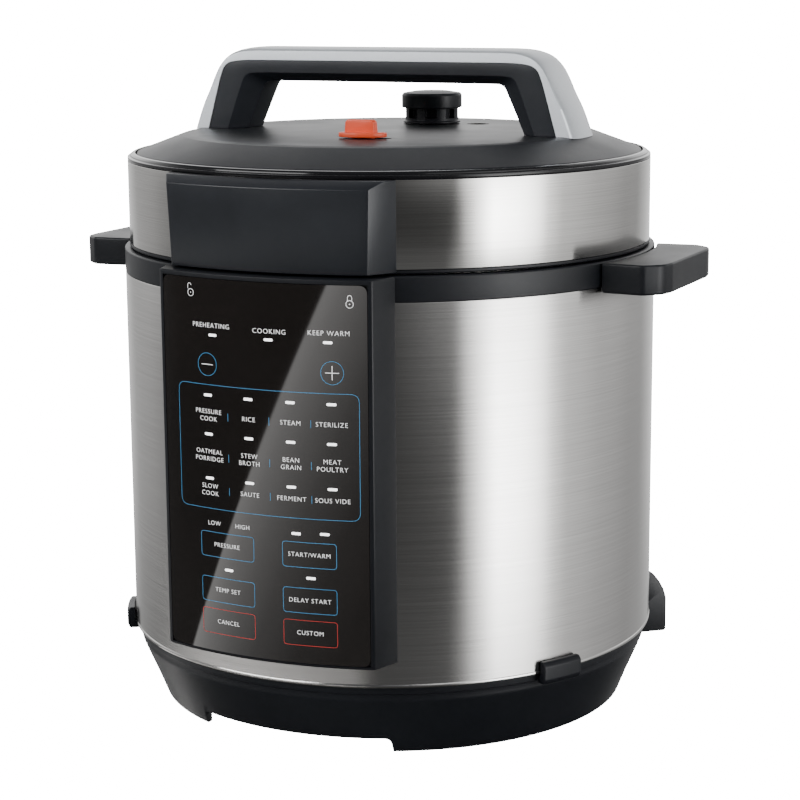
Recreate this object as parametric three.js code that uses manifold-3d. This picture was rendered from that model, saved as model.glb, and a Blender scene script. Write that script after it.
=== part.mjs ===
import * as THREE from 'three';
import { mergeVertices } from 'three/addons/utils/BufferGeometryUtils.js';
import Module from 'manifold-3d';

const wasm = await Module();
wasm.setup();

// Electric pressure cooker, six-litre size. Millimetres, +Z up, control panel facing -Y.
// Angles around the cooker are measured from the front (-Y), positive towards the right (+X).

// Overall sizes.
const shellRadius = 136;
const shellHeight = 184;
const shellWall = 0.8;
const baseHeight = 38;
const collarHeight = 12.2;
const bandHeight = 41;
const gripHeight = 42.3;
const gap = 0.3;

// Cooking pots and the ring of locking teeth.
const potRadius = shellRadius - 24;
const potWall = 1.2;
const heaterRoom = 24.1;
const toothCount = 8;
const potToothAngle = 20;
const lidToothAngle = 18;
const toothReach = 3.5;

// Levels built up from the feet.
const shellBottom = baseHeight;
const shellTop = shellBottom + shellHeight;
const collarTop = shellTop + collarHeight;
const bandBottom = collarTop + 2.6;
const bandTop = bandBottom + bandHeight;
const coverTop = bandTop + 13.2;
const gripTop = coverTop - 0.6 + gripHeight;
const flangeTop = collarTop - 3.2;
const shoulder = flangeTop - 10;
const potRim = shoulder + 3.1;
const potBottom = shellBottom + heaterRoom;
const linerBottom = potBottom - 12;

// Control panel and the matching block on the lid.
const panelBottom = shellBottom + 13;
const panelHalfWidth = 55.3;
const panelSpread = 4.5;
const panelFront = shellRadius + 10.5;
const panelBow = 9;
const bezel = 2.2;
const glassThickness = 1.5;
const boardHalfWidth = panelHalfWidth - 9.3;

// Steam outlet, float valve and quick-release slider on the lid.
const steamY = 54;
const floatX = 25;
const floatY = 58;
const sliderX = 9.6;
const sliderY = -52;
const sliderTravel = 8;

// Condensation cup at the back and mains inlet at the back right.
const cupHalfWidth = 28.8;
const cupTop = shellTop - 17;
const cupHeight = 53;
const inletAngle = 130;
const inletHalfWidth = 18;
const inletBottom = 17;
const inletTop = 54;
const inletFront = shellRadius + 13;

const rounds = 48;
const rad = (degrees) => (degrees * Math.PI) / 180;
const angleAt = (x, radius) => (Math.asin(x / radius) * 180) / Math.PI;

// --- shape helpers -------------------------------------------------------------------------

function toSolid(geometry) {
  const bare = geometry.clone();
  bare.deleteAttribute('normal');
  bare.deleteAttribute('uv');
  const merged = mergeVertices(bare, 1e-4);
  const points = merged.attributes.position.array;
  const kept = [];
  let volume = 0;
  for (let i = 0; i < merged.index.count; i += 3) {
    const [a, b, c] = [merged.index.array[i], merged.index.array[i + 1], merged.index.array[i + 2]];
    if (a === b || b === c || c === a) continue;
    kept.push(a, b, c);
    const [p, q, r] = [a, b, c].map((n) => new THREE.Vector3().fromArray(points, n * 3));
    volume += p.dot(q.cross(r));
  }
  if (volume < 0) {
    for (let i = 0; i < kept.length; i += 3) [kept[i], kept[i + 1]] = [kept[i + 1], kept[i]];
  }
  return new wasm.Manifold(
    new wasm.Mesh({
      numProp: 3,
      vertProperties: Float32Array.from(points),
      triVerts: Uint32Array.from(kept),
    }),
  );
}

function toGeometry(solid) {
  const mesh = solid.getMesh();
  const geometry = new THREE.BufferGeometry();
  geometry.setAttribute('position', new THREE.BufferAttribute(new Float32Array(mesh.vertProperties), 3));
  geometry.setIndex(new THREE.BufferAttribute(new Uint32Array(mesh.triVerts), 1));
  geometry.computeVertexNormals();
  return geometry;
}

// A turned solid: the profile is a list of [radius, height] pairs, closed by itself.
function turned(profile, count = rounds, x = 0, y = 0) {
  const points = profile.map(([r, z]) => new THREE.Vector2(r, z));
  const onAxis = profile[0][0] === 0 && profile[profile.length - 1][0] === 0;
  if (!onAxis) points.push(points[0].clone());
  return toSolid(new THREE.LatheGeometry(points, count).rotateX(Math.PI / 2).translate(x, y, 0));
}

// An upright solid with the given plan outline.
function upright(outline, bottom, top) {
  const shape = new THREE.Shape(outline.map(([x, y]) => new THREE.Vector2(x, y)));
  const geometry = new THREE.ExtrudeGeometry(shape, { depth: top - bottom, bevelEnabled: false });
  return toSolid(geometry.translate(0, 0, bottom));
}

// A solid with a side outline given as [forward, height] pairs, running across from left to right.
function across(outline, left, right) {
  const shape = new THREE.Shape(outline.map(([y, z]) => new THREE.Vector2(y, z)));
  const geometry = new THREE.ExtrudeGeometry(shape, { depth: right - left, bevelEnabled: false });
  return toSolid(geometry.rotateY(Math.PI / 2).rotateX(Math.PI / 2).translate(left, 0, 0));
}

// A solid with a front outline given as [x, height] pairs, running from the front to the back.
function through(outline, front, back) {
  const shape = new THREE.Shape(outline.map(([x, z]) => new THREE.Vector2(x, z)));
  const geometry = new THREE.ExtrudeGeometry(shape, { depth: back - front, bevelEnabled: false });
  return toSolid(geometry.rotateX(Math.PI / 2).translate(0, back, 0));
}

// A solid whose plan outline changes with height; every outline has the same number of points.
function lofted(sections) {
  const count = sections[0].outline.length;
  const positions = sections.flatMap(({ outline, z }) => outline.flatMap(([x, y]) => [x, y, z]));
  const indices = [];
  for (let level = 0; level + 1 < sections.length; level += 1) {
    for (let i = 0; i < count; i += 1) {
      const a = level * count + i;
      const b = level * count + ((i + 1) % count);
      indices.push(a, b, b + count, a, b + count, a + count);
    }
  }
  const flat = (n) => sections[n].outline.map(([x, y]) => new THREE.Vector2(x, y));
  const last = sections.length - 1;
  for (const [a, b, c] of THREE.ShapeUtils.triangulateShape(flat(0), [])) indices.push(a, c, b);
  for (const [a, b, c] of THREE.ShapeUtils.triangulateShape(flat(last), [])) {
    indices.push(last * count + a, last * count + b, last * count + c);
  }
  const geometry = new THREE.BufferGeometry();
  geometry.setAttribute('position', new THREE.Float32BufferAttribute(positions, 3));
  geometry.setIndex(indices);
  return toSolid(geometry);
}

const block = (x0, x1, y0, y1, z0, z1) =>
  toSolid(
    new THREE.BoxGeometry(x1 - x0, y1 - y0, z1 - z0)
      .translate((x0 + x1) / 2, (y0 + y1) / 2, (z0 + z1) / 2),
  );
const rod = (x, y, radius, z0, z1, count = 24) =>
  turned([[0, z0], [radius, z0], [radius, z1], [0, z1]], count, x, y);
const tube = (x, y, outer, inner, z0, z1, count = 24) =>
  turned([[inner, z0], [outer, z0], [outer, z1], [inner, z1]], count, x, y);
const spot = (radius, angle) => [radius * Math.sin(rad(angle)), -radius * Math.cos(rad(angle))];
const arc = (radius, from, to, steps) =>
  Array.from({ length: steps + 1 }, (_, i) => spot(radius, from + ((to - from) * i) / steps));
const sector = (inner, outer, from, to, z0, z1, steps = 4) =>
  upright([...arc(outer, from, to, steps), ...arc(inner, to, from, steps)], z0, z1);
const join = (first, ...others) => others.reduce((all, one) => all.add(one), first);
const cut = (first, ...others) => others.reduce((all, one) => all.subtract(one), first);
const ringSection = (radius, height, wireRadius) =>
  Array.from({ length: 5 }, (_, i) => [
    radius + wireRadius * Math.cos(rad(72 * i)), height + wireRadius * Math.sin(rad(72 * i)),
  ]);
const around = (count, make) => Array.from({ length: count }, (_, i) => make((360 / count) * i));

// --- materials -----------------------------------------------------------------------------

const finish = (color, roughness, metalness = 0) => ({ color, roughness, metalness });
const blackPlastic = finish(0x1d2024, 0.55);
const glossBlack = finish(0x08090a, 0.12);
const brushedSteel = finish(0xb9b6b0, 0.32, 1);
const darkSteel = finish(0x8c8a86, 0.4, 1);
const aluminium = finish(0xb8bcc0, 0.45, 1);
const silverPaint = finish(0xa9adb2, 0.4, 0.6);
const orangePlastic = finish(0xee5427, 0.45);
const silicone = finish(0xd9d7d0, 0.7);
const rubber = finish(0x161616, 0.85);
const boardGreen = finish(0x1f6b3a, 0.6);
const clearPlastic = finish(0x9aa3a8, 0.2);
const brass = finish(0xc9a24a, 0.35, 1);
const screwSteel = finish(0x9b9b98, 0.35, 1);
const partBlack = finish(0x26282b, 0.6);

const cooker = new THREE.Group();
cooker.name = 'electric_pressure_cooker';
const body = new THREE.Group();
body.name = 'cooker_body';
const lid = new THREE.Group();
lid.name = 'lid';
cooker.add(body, lid);

function piece(group, name, solid, look, turn = 0) {
  const mesh = new THREE.Mesh(toGeometry(solid), new THREE.MeshStandardMaterial(look));
  mesh.name = name;
  mesh.rotation.z = rad(turn);
  group.add(mesh);
}

// --- base ----------------------------------------------------------------------------------

// Moulded tray that flares in towards the table, open towards the pot, on a low skirt that is
// raised at the front and back.
const baseRim = shellRadius - 2;
const skirtRadius = shellRadius - 15.2;
const floorLow = 9;
const floorHigh = 11.5;
const postSpots = [60, 180, 300].map((angle) => spot(85, angle));
const boardSpots = [[-52, -22], [52, -22], [-52, 42], [52, 42]];

const inletSide = [
  [-inletFront, inletBottom], [-shellRadius + 18, inletBottom], [-shellRadius + 18, inletTop],
  [-shellRadius + 1, inletTop], [-inletFront + 7.5, inletTop - 4.5], [-inletFront + 4, inletTop - 9],
  [-inletFront + 1.5, inletTop - 13.5], [-inletFront, inletTop - 18.5],
];
const inletClear = (room) =>
  block(
    -inletHalfWidth - room, inletHalfWidth + room,
    -inletFront - 5, -shellRadius + 18 + room,
    inletBottom - room, inletTop + room,
  ).rotate([0, 0, inletAngle]);

const baseTray = turned([
  [0, floorLow], [skirtRadius - 3, floorLow], [skirtRadius - 3.4, 1.2], [skirtRadius, 1.2],
  [skirtRadius + 4.6, 12.8], [skirtRadius + 10, baseHeight - 12.6], [skirtRadius + 12.4, baseHeight - 7.5],
  [baseRim - 1, baseHeight - 3.5], [baseRim, baseHeight - 3.5], [baseRim, baseHeight + 6],
  [baseRim - 3, baseHeight + 6], [baseRim - 3.5, baseHeight - 4], [skirtRadius + 7, baseHeight - 12.6],
  [skirtRadius + 1.5, floorHigh], [0, floorHigh],
]);
const basePosts = postSpots.map(([x, y]) => rod(x, y, 6, floorHigh - 0.5, linerBottom - gap, 16));
const boardPosts = boardSpots.map(([x, y]) => rod(x, y, 3, floorHigh - 0.5, 22 - gap, 12));
const postBores = postSpots.map(([x, y]) => rod(x, y, 2.3, 0, 32, 12));
const baseShell = cut(
  join(baseTray, ...basePosts, ...boardPosts),
  ...postBores,
  sector(skirtRadius - 20, shellRadius + 10, -25, 25, -1, 8.7, 8),
  sector(skirtRadius - 20, shellRadius + 10, 155, 205, -1, 8.7, 8),
  inletClear(gap),
);
piece(body, 'base_shell', baseShell, blackPlastic);

// Rubber feet under the tray.
[45, 135, 225, 315].forEach((angle, i) => {
  const [x, y] = spot(100, angle);
  const foot = turned([[0, 0], [8.5, 0], [9.5, 1.5], [9.5, floorLow - gap], [0, floorLow - gap]], 20, x, y);
  piece(body, `foot_${i + 1}`, foot, rubber);
});

// Screws up through the floor of the tray into the posts that carry the outer pot.
postSpots.forEach(([x, y], i) => {
  const top = floorLow - gap;
  const screw = turned([[0, top - 3.2], [4.5, top - 3.2], [4.5, top], [2, top], [2, 30], [0, 30]], 12, x, y);
  piece(body, `base_screw_${i + 1}`, screw, screwSteel);
});

// --- steel shell ---------------------------------------------------------------------------

const cupWindow = block(
  -cupHalfWidth - 2.5, cupHalfWidth + 2.5, 100, shellRadius + 10, cupTop - cupHeight - 4, cupTop + 5,
);
const windowAngle = angleAt(boardHalfWidth + 5, shellRadius);
const steelShell = cut(
  turned([
    [shellRadius, shellBottom], [shellRadius, shellTop],
    [shellRadius - shellWall, shellTop], [shellRadius - shellWall, shellBottom],
  ]),
  sector(shellRadius - 6, shellRadius + 6, -windowAngle, windowAngle, panelBottom + 12, shellTop - 12, 6),
  inletClear(gap),
  cupWindow,
);
piece(body, 'body_shell', steelShell, brushedSteel);

// Clips that hook over the bottom edge of the steel shell.
const clipRing = turned([
  [baseRim + gap, baseHeight - 4.5], [shellRadius + 3.6, baseHeight - 4.5],
  [shellRadius + 4.6, baseHeight - 3],
  [shellRadius + 4.6, baseHeight + 5], [shellRadius + 3.6, baseHeight + 6.5],
  [shellRadius + gap, baseHeight + 6.5], [shellRadius + gap, baseHeight - gap],
  [baseRim + gap, baseHeight - gap],
], 96);
for (const [name, angle] of [['shell_clip_left', -61], ['shell_clip_right', 61]]) {
  const keep = sector(shellRadius - 20, shellRadius + 20, angle - 4.9, angle + 4.9, 0, baseHeight + 20, 2);
  piece(body, name, clipRing.intersect(keep), blackPlastic);
}

// --- collar and side handles ---------------------------------------------------------------

const flangeRadius = shellRadius - 7.5;
const cupRadius = shellRadius - 13;
const collar = turned([
  [shellRadius - 0.3, shellTop + gap], [shellRadius - 0.3, collarTop], [flangeRadius + 0.7, collarTop],
  [flangeRadius + 0.7, flangeTop - 2.3], [cupRadius + 1.6, flangeTop - 2.3],
  [cupRadius + 1.6, flangeTop - 5.4], [shellRadius - 3.6, flangeTop - 5.4],
  [shellRadius - 3.6, shellTop - 8], [shellRadius - 1.2, shellTop - 8], [shellRadius - 1.2, shellTop + gap],
]);
piece(body, 'collar_ring', collar, blackPlastic);

const handleReach = shellRadius + 25.2;
const handleInner = shellRadius + 0.7;
const handleHalf = 42;
const handleAngle = (Math.acos(handleHalf / handleInner) * 180) / Math.PI;
const handleOutline = (inset) => [
  ...arc(handleInner + inset, 180 - handleAngle - inset, handleAngle + inset, 10),
  [handleReach - 10.7, -handleHalf - 2 + inset], [handleReach - 4.2, -handleHalf + 0.4 + inset],
  [handleReach - 0.9 - inset, -handleHalf + 6], [handleReach - inset, -handleHalf + 14],
  [handleReach - inset, handleHalf - 14], [handleReach - 0.9 - inset, handleHalf - 6],
  [handleReach - 4.2, handleHalf - 0.4 - inset], [handleReach - 10.7, handleHalf + 2 - inset],
];
const sideHandle = cut(
  upright(handleOutline(0), shellTop - 2.4, collarTop - 0.2),
  upright(handleOutline(3), shellTop - 3, collarTop - 3.4),
);
piece(body, 'side_handle_right', sideHandle, blackPlastic);
piece(body, 'side_handle_left', sideHandle, blackPlastic, 180);

// --- outer pot with the ring of teeth, heater and sensor -----------------------------------

const linerRadius = potRadius + 2;
const outerPot = cut(
  turned([
    [13, linerBottom], [linerRadius + potWall, linerBottom], [linerRadius + potWall, shoulder - potWall],
    [cupRadius + potWall, shoulder - potWall], [cupRadius + potWall, flangeTop - 2],
    [flangeRadius, flangeTop - 2], [flangeRadius, flangeTop], [cupRadius - toothReach, flangeTop],
    [cupRadius - toothReach, flangeTop - 2], [cupRadius, flangeTop - 2], [cupRadius, shoulder],
    [linerRadius, shoulder], [linerRadius, linerBottom + potWall], [13, linerBottom + potWall],
  ]),
  ...around(toothCount, (angle) => {
    const half = (360 / toothCount - potToothAngle) / 2;
    const middle = angle + 180 / toothCount;
    return sector(cupRadius - 8, cupRadius, middle - half, middle + half, flangeTop - 2.1, flangeTop + 1, 4);
  }),
);
piece(body, 'outer_pot', outerPot, aluminium);

const plateTop = potBottom - gap;
const plateBottom = plateTop - 6.7;
const heatingPlate = join(
  turned([[17, plateBottom], [93, plateBottom], [96, plateBottom + 2], [96, plateTop], [17, plateTop]], 36),
  ...[30, 150, 270].map((angle) => {
    const [x, y] = spot(82, angle);
    return rod(x, y, 5, linerBottom + potWall + gap, plateBottom + 1, 12);
  }),
);
piece(body, 'heating_plate', heatingPlate, aluminium);

const element = turned(ringSection(62, plateBottom - 1.9, 1.5), 24);
piece(body, 'heating_element', element, darkSteel);

const sensorBracket = turned([
  [4.4, linerBottom - 7], [12, linerBottom - 7], [12, linerBottom - 2.2], [27, linerBottom - 2.2],
  [27, linerBottom - gap], [12, linerBottom - gap], [12, plateBottom - 1], [10.5, plateBottom - 1],
  [10.5, linerBottom - 5.5], [4.4, linerBottom - 5.5],
], 20);
piece(body, 'sensor_bracket', sensorBracket, darkSteel);

const sensorButton = turned([
  [0, linerBottom - 9], [3.8, linerBottom - 9], [3.8, plateTop - 4], [9.5, plateTop - 4],
  [9.5, plateTop - 0.8], [8.5, plateTop], [0, plateTop],
], 20);
piece(body, 'sensor_button', sensorButton, aluminium);

const springBottom = linerBottom - 5.2;
const springTop = plateTop - 4 - gap;
class SpringPath extends THREE.Curve {
  getPoint(t, target = new THREE.Vector3()) {
    const angle = t * 2 * Math.PI * 3.5;
    const rise = springBottom + 0.7 + (springTop - springBottom - 1.4) * t;
    return target.set(6.4 * Math.cos(angle), 6.4 * Math.sin(angle), rise);
  }
}
const wire = new THREE.Shape(
  Array.from({ length: 5 }, (_, i) => {
    const angle = rad(72 * i);
    return new THREE.Vector2(0.6 * Math.cos(angle), 0.6 * Math.sin(angle));
  }),
);
const spring = new THREE.ExtrudeGeometry(wire, {
  steps: 42, bevelEnabled: false, extrudePath: new SpringPath(),
});
piece(body, 'sensor_spring', toSolid(spring), screwSteel);

const thermalFuse = join(
  block(38, 58, -5, 5, linerBottom - 3, linerBottom - gap),
  block(43, 53, -3.5, 3.5, linerBottom - 7, linerBottom - 2.5),
);
piece(body, 'thermal_fuse', thermalFuse, darkSteel);

// --- electronics in the base ---------------------------------------------------------------

piece(body, 'power_board', block(-58, 58, -28, 48, 22, 23.6), boardGreen);
piece(body, 'relay', block(20, 40, 20, 36, 23.6 + gap, 39), partBlack);
piece(body, 'transformer', block(-46, -18, 10, 36, 23.6 + gap, 41), partBlack);
piece(body, 'capacitor', rod(-8, 34, 7, 23.6 + gap, 40, 20), partBlack);

// --- condensation cup ----------------------------------------------------------------------

const cupBottom = cupTop - cupHeight;
const pocketHalf = cupHalfWidth + 1.9;
const pocketBack = shellRadius - 15;
const cupBracket = cut(
  join(
    sector(shellRadius + gap, shellRadius + 2.3, 164.5, 195.5, cupBottom - 8, cupTop + 9, 6),
    block(-pocketHalf, pocketHalf, pocketBack, shellRadius + 1, cupBottom - 3, cupTop + 3.6),
  ),
  block(-pocketHalf + 1.5, pocketHalf - 1.5, pocketBack + 1.5, shellRadius + 20, cupBottom - 1.4, cupTop + 2),
);
piece(body, 'cup_bracket', cupBracket, blackPlastic);

const cupBack = pocketBack + 2;
const cupOutline = (inset) => [
  [-cupHalfWidth + inset, cupBack + inset], [cupHalfWidth - inset, cupBack + inset],
  [cupHalfWidth - inset, panelFront - 5], [cupHalfWidth - 5 - inset / 2, panelFront - 1.5 - inset],
  [cupHalfWidth - 12, panelFront - inset], [-cupHalfWidth + 12, panelFront - inset],
  [-cupHalfWidth + 5 + inset / 2, panelFront - 1.5 - inset], [-cupHalfWidth + inset, panelFront - 5],
];
const condensationCup = cut(
  upright(cupOutline(0), cupBottom, cupTop),
  upright(cupOutline(1.6), cupBottom + 1.8, cupTop + 1),
);
piece(body, 'condensation_cup', condensationCup, clearPlastic);

// --- mains inlet ---------------------------------------------------------------------------

const pinSpots = [[-7, 29], [0, 33], [7, 29]];
const socketBack = -inletFront + 18;
const inletHousing = cut(
  across(inletSide, -inletHalfWidth, inletHalfWidth),
  block(-13, 13, -inletFront - 5, socketBack, inletBottom + 4.5, inletTop - 15.5),
  ...pinSpots.map(([x, z]) => block(x - 1.5, x + 1.5, -inletFront, -shellRadius + 20, z - 3, z + 3)),
);
piece(body, 'inlet_housing', inletHousing, blackPlastic, inletAngle);
pinSpots.forEach(([x, z], i) => {
  const pin = block(x - 1.2, x + 1.2, -inletFront + 5, -shellRadius + 22, z - 2.6, z + 2.6);
  piece(body, `inlet_pin_${i + 1}`, pin, brass, inletAngle);
});

// --- control panel -------------------------------------------------------------------------

const bowRadius = (panelHalfWidth ** 2 + panelBow ** 2) / (2 * panelBow);
const bowCentre = -panelFront + bowRadius;
const bow = (half, inset, steps = 10) =>
  Array.from({ length: steps + 1 }, (_, i) => {
    const x = -half + (2 * half * i) / steps;
    return [x, bowCentre - Math.sqrt((bowRadius - inset) ** 2 - x * x)];
  });
const bowed = (half, outer, inner) => [...bow(half, outer), ...bow(half, inner).reverse()];

const panelAngle = angleAt(panelHalfWidth + panelSpread, shellRadius);
const glassHalfWidth = panelHalfWidth - bezel;
const [seatBottom, seatTop] = [panelBottom + 1.2, collarTop - 2.2];
const pocketHalfWidth = boardHalfWidth + 3.5;
const displayHalfWidth = boardHalfWidth - 16;
const [displayBottom, displayTop] = [collarTop - 62.2, collarTop - 34.2];
const frameBody = upright(
  [...bow(panelHalfWidth, 0), ...arc(shellRadius + gap, panelAngle, -panelAngle, 10)], panelBottom, collarTop,
);
const panelFrame = cut(
  frameBody,
  upright(bowed(glassHalfWidth + gap, -5, glassThickness + 0.2), seatBottom, seatTop),
  upright(
    [...bow(pocketHalfWidth, 4), [pocketHalfWidth, -100], [-pocketHalfWidth, -100]],
    panelBottom + 6, collarTop - 6,
  ),
  block(
    -displayHalfWidth - 4, displayHalfWidth + 4, -panelFront - 5, -100, displayBottom - 3, displayTop + 3,
  ),
);
piece(body, 'panel_frame', panelFrame, blackPlastic);
const panelGlass = upright(
  bowed(glassHalfWidth, 0, glassThickness), seatBottom + gap, seatTop - gap,
);
piece(body, 'panel_glass', panelGlass, glossBlack);

const boardFront = -panelFront + 12.5;
const controlBoard = block(
  -boardHalfWidth, boardHalfWidth, boardFront, boardFront + 1.6, panelBottom + 22, shellTop - 16,
);
piece(body, 'control_board', controlBoard, boardGreen);
const display = block(
  -displayHalfWidth, displayHalfWidth, -panelFront + 6.4, boardFront - gap, displayBottom, displayTop,
);
piece(body, 'display_module', display, partBlack);

const ribbonRun = [
  [boardFront + 1.6 + gap, panelBottom + 44], [boardFront + 5, panelBottom + 30], [boardFront + 6, 60],
  [-shellRadius + 16, 34], [-100, 28], [-40, 27], [-24, 25.2], [-16, 23.6 + gap],
];
const ribbonOutline = [
  ...ribbonRun,
  ...ribbonRun.slice().reverse().map(([y, z], i) => (i < 3 ? [y, z + 0.9] : [y + 0.8, z + 0.8])),
];
piece(body, 'ribbon_cable', across(ribbonOutline, -10, 10), finish(0xb7b4ac, 0.6));

// --- inner cooking pot ---------------------------------------------------------------------

const innerPot = turned([
  [0, potBottom], [potRadius - 10, potBottom], [potRadius, potBottom + 9],
  [potRadius, potRim - potWall], [potRadius + 3.5, potRim - potWall], [potRadius + 3.5, potRim],
  [potRadius - potWall, potRim], [potRadius - potWall, potBottom + 9.6],
  [potRadius - 10.4, potBottom + potWall], [0, potBottom + potWall],
]);
piece(body, 'inner_pot', innerPot, brushedSteel);

// --- lid -----------------------------------------------------------------------------------

const bandRadius = shellRadius - 2.9;
const plateRadius = shellRadius - 30.6;
const plateEdge = coverTop - 1;
const coverProfile = (lift) => [
  [bandRadius - 4.3 + lift, bandTop + 2.2], [bandRadius - 5.1 + lift, bandTop + 3.8 + lift],
  [plateRadius + lift, plateEdge + lift], [plateRadius - 3.4, coverTop - 0.5 + lift], [0, coverTop + lift],
];
const [screwLeft, screwRight] = [-90, 90];
const slotHalf = 3.2;
const lidCover = cut(
  turned([
    [0, coverTop - 2.5], [plateRadius - 4, coverTop - 3.2], [plateRadius - 1, plateEdge - 2.5],
    [bandRadius - 7.3, bandTop + 2.6], [bandRadius - 7.3, bandTop - 4], [bandRadius - 4.3, bandTop - 4],
    ...coverProfile(0),
  ]),
  rod(0, steamY, 6.5, 200, coverTop + 5, 20),
  rod(0, steamY - 10, 1.9, 200, coverTop + 5, 12),
  rod(floatX, floatY, 6, 200, coverTop + 5, 20),
  rod(screwLeft, 0, 2.8, 200, coverTop + 5, 12),
  rod(screwRight, 0, 2.8, 200, coverTop + 5, 12),
  block(sliderX - 5, sliderX + 8 + sliderTravel, sliderY - slotHalf, sliderY + slotHalf, 200, coverTop + 5),
);
piece(lid, 'lid_cover', lidCover, blackPlastic);

const trimRing = turned([
  [bandRadius - 1.3, bandTop + 0.2], [bandRadius, bandTop + 0.2], [bandRadius, bandTop + 2.4],
  [bandRadius - 1.5, bandTop + 3.5], [bandRadius - 4, bandTop + 4], [bandRadius - 4, bandTop - 6],
  [bandRadius - 1.3, bandTop - 6],
]);
piece(lid, 'lid_trim_ring', trimRing, glossBlack);

const lidBand = turned([
  [bandRadius, bandBottom], [bandRadius, bandTop], [bandRadius - shellWall, bandTop],
  [bandRadius - shellWall, bandBottom],
]);
piece(lid, 'lid_band', lidBand, brushedSteel);

const skirtOuter = cupRadius - toothReach - 0.5;
const lowerRing = turned([
  [skirtOuter + 0.7, bandBottom - 1.9], [bandRadius, bandBottom - 1.9], [bandRadius, bandBottom - gap],
  [bandRadius - 1.2, bandBottom - gap], [bandRadius - 1.2, bandBottom + 9],
  [bandRadius - 3.2, bandBottom + 9], [bandRadius - 3.2, bandBottom], [skirtOuter + 0.7, bandBottom],
]);
piece(lid, 'lid_lower_ring', lowerRing, blackPlastic);

// Moulded block on the front of the lid that lines up with the control panel.
const blockBack = bandRadius + gap;
const blockAngle = angleAt(panelHalfWidth + panelSpread - 0.5, blockBack);
const lidBlockOutline = (inset, front, back) => [
  ...Array.from({ length: 9 }, (_, i) => {
    const t = -1 + i / 4;
    return [(panelHalfWidth - inset) * t, -front + (panelBow - 1.4) * t * t];
  }),
  ...arc(back, blockAngle, -blockAngle, 8),
];
const lidBlock = cut(
  lofted([
    { outline: lidBlockOutline(4.3, shellRadius + 5, blockBack), z: bandBottom - 1.4 },
    { outline: lidBlockOutline(2.9, shellRadius + 6, blockBack), z: bandTop - 3.4 },
    { outline: lidBlockOutline(-1.7, blockBack + 0.8, blockBack), z: bandTop },
  ]),
  lofted([
    { outline: lidBlockOutline(7.7, shellRadius + 2.2, blockBack - 1), z: bandBottom + 1.5 },
    { outline: lidBlockOutline(6.7, shellRadius + 3.2, blockBack - 1), z: bandTop - 6 },
  ]),
);
piece(lid, 'lid_block', lidBlock, blackPlastic);

// Steel inner plate: a shallow pan with teeth round its edge that turn under the pot's teeth.
const toothBottom = flangeTop - 5.6;
const panTop = toothBottom + 13.1;
const innerPlate = cut(
  join(
    turned([
      [0, panTop + 8], [60, panTop + 7], [skirtOuter - 15, panTop + 3], [skirtOuter - 11, panTop - 1.5],
      [skirtOuter - 1.5, panTop - 1.5], [skirtOuter - 1.5, toothBottom], [skirtOuter, toothBottom],
      [skirtOuter, panTop], [skirtOuter - 10.3, panTop], [skirtOuter - 14.3, panTop + 4.5],
      [60, panTop + 8.5], [0, panTop + 9.5],
    ]),
    ...around(toothCount, (angle) => {
      const half = lidToothAngle / 2;
      return sector(
        skirtOuter - 1, cupRadius - 0.5, angle - half, angle + half, toothBottom, toothBottom + 3, 3,
      );
    }),
  ),
  rod(0, 0, 3.3, 200, coverTop, 16),
  rod(0, steamY, 4.3, 200, coverTop, 16),
  rod(floatX, floatY, 3.6, 200, coverTop, 16),
);
piece(lid, 'lid_inner_plate', innerPlate, brushedSteel);

const sealTop = panTop - 1.5 - gap;
const sealBottom = potRim + gap;
const sealOuter = skirtOuter - 1.5 - gap;
const rackMiddle = (sealTop + sealBottom) / 2;
const sealingRing = turned([
  [sealOuter - 3.6, sealBottom], [sealOuter, sealBottom], [sealOuter, sealTop], [sealOuter - 4.4, sealTop],
  [sealOuter - 2.4, rackMiddle], [sealOuter - 4.6, sealBottom + 2.6],
], 36);
piece(lid, 'sealing_ring', sealingRing, silicone);

const rackRadius = sealOuter - 6.6;
const sealRack = turned(ringSection(rackRadius, rackMiddle, 1.2), 36);
piece(lid, 'seal_rack', sealRack, screwSteel);

const centrePost = tube(0, 0, 8, 3.3, panTop + 9.5 + gap, coverTop - 2.5 - gap, 20);
piece(lid, 'lid_centre_post', centrePost, blackPlastic);
const centreScrew = turned([
  [0, panTop + 4.2], [7, panTop + 4.2], [7, panTop + 7.6], [3, panTop + 7.6],
  [3, panTop + 34], [0, panTop + 34],
], 20);
piece(lid, 'lid_centre_screw', centreScrew, screwSteel);

// --- lid handle ----------------------------------------------------------------------------

const gripFoot = coverTop - 4;
const rise = (fraction) => gripTop - gripHeight * (1 - fraction);
const outerGrip = [
  [shellRadius - 28.6, gripFoot], [shellRadius - 29.4, rise(0)], [shellRadius - 34, rise(0.29)],
  [shellRadius - 38.8, rise(0.48)], [shellRadius - 42.2, rise(0.65)], [shellRadius - 45.4, rise(0.77)],
  [shellRadius - 50.5, rise(0.9)], [shellRadius - 57, rise(0.968)], [shellRadius - 64, rise(1)],
];
const coreGrip = [
  [shellRadius - 38.2, gripFoot], [shellRadius - 39.4, rise(0)], [shellRadius - 44, rise(0.4)],
  [shellRadius - 46.8, rise(0.66)], [shellRadius - 51, rise(0.77)], [shellRadius - 56, rise(0.825)],
  [shellRadius - 62, rise(0.84)],
];
const innerGrip = [
  [shellRadius - 57.4, gripFoot], [shellRadius - 58.2, rise(0)], [shellRadius - 67.5, rise(0.48)],
  [shellRadius - 70.4, rise(0.565)], [shellRadius - 74, rise(0.59)],
];
const mirrored = (side) => [...side, ...side.slice().reverse().map(([x, z]) => [-x, z])];
const coverRoom = turned([[0, coverTop - 20], [bandRadius, coverTop - 20], ...coverProfile(gap)]);
const gripHalf = 15.2;
const gripCore = cut(
  through([...mirrored(coreGrip), ...mirrored(innerGrip).reverse()], -gripHalf, gripHalf),
  coverRoom,
  rod(screwLeft, 0, 2.3, 200, rise(0.34), 12),
  rod(screwRight, 0, 2.3, 200, rise(0.34), 12),
);
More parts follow.
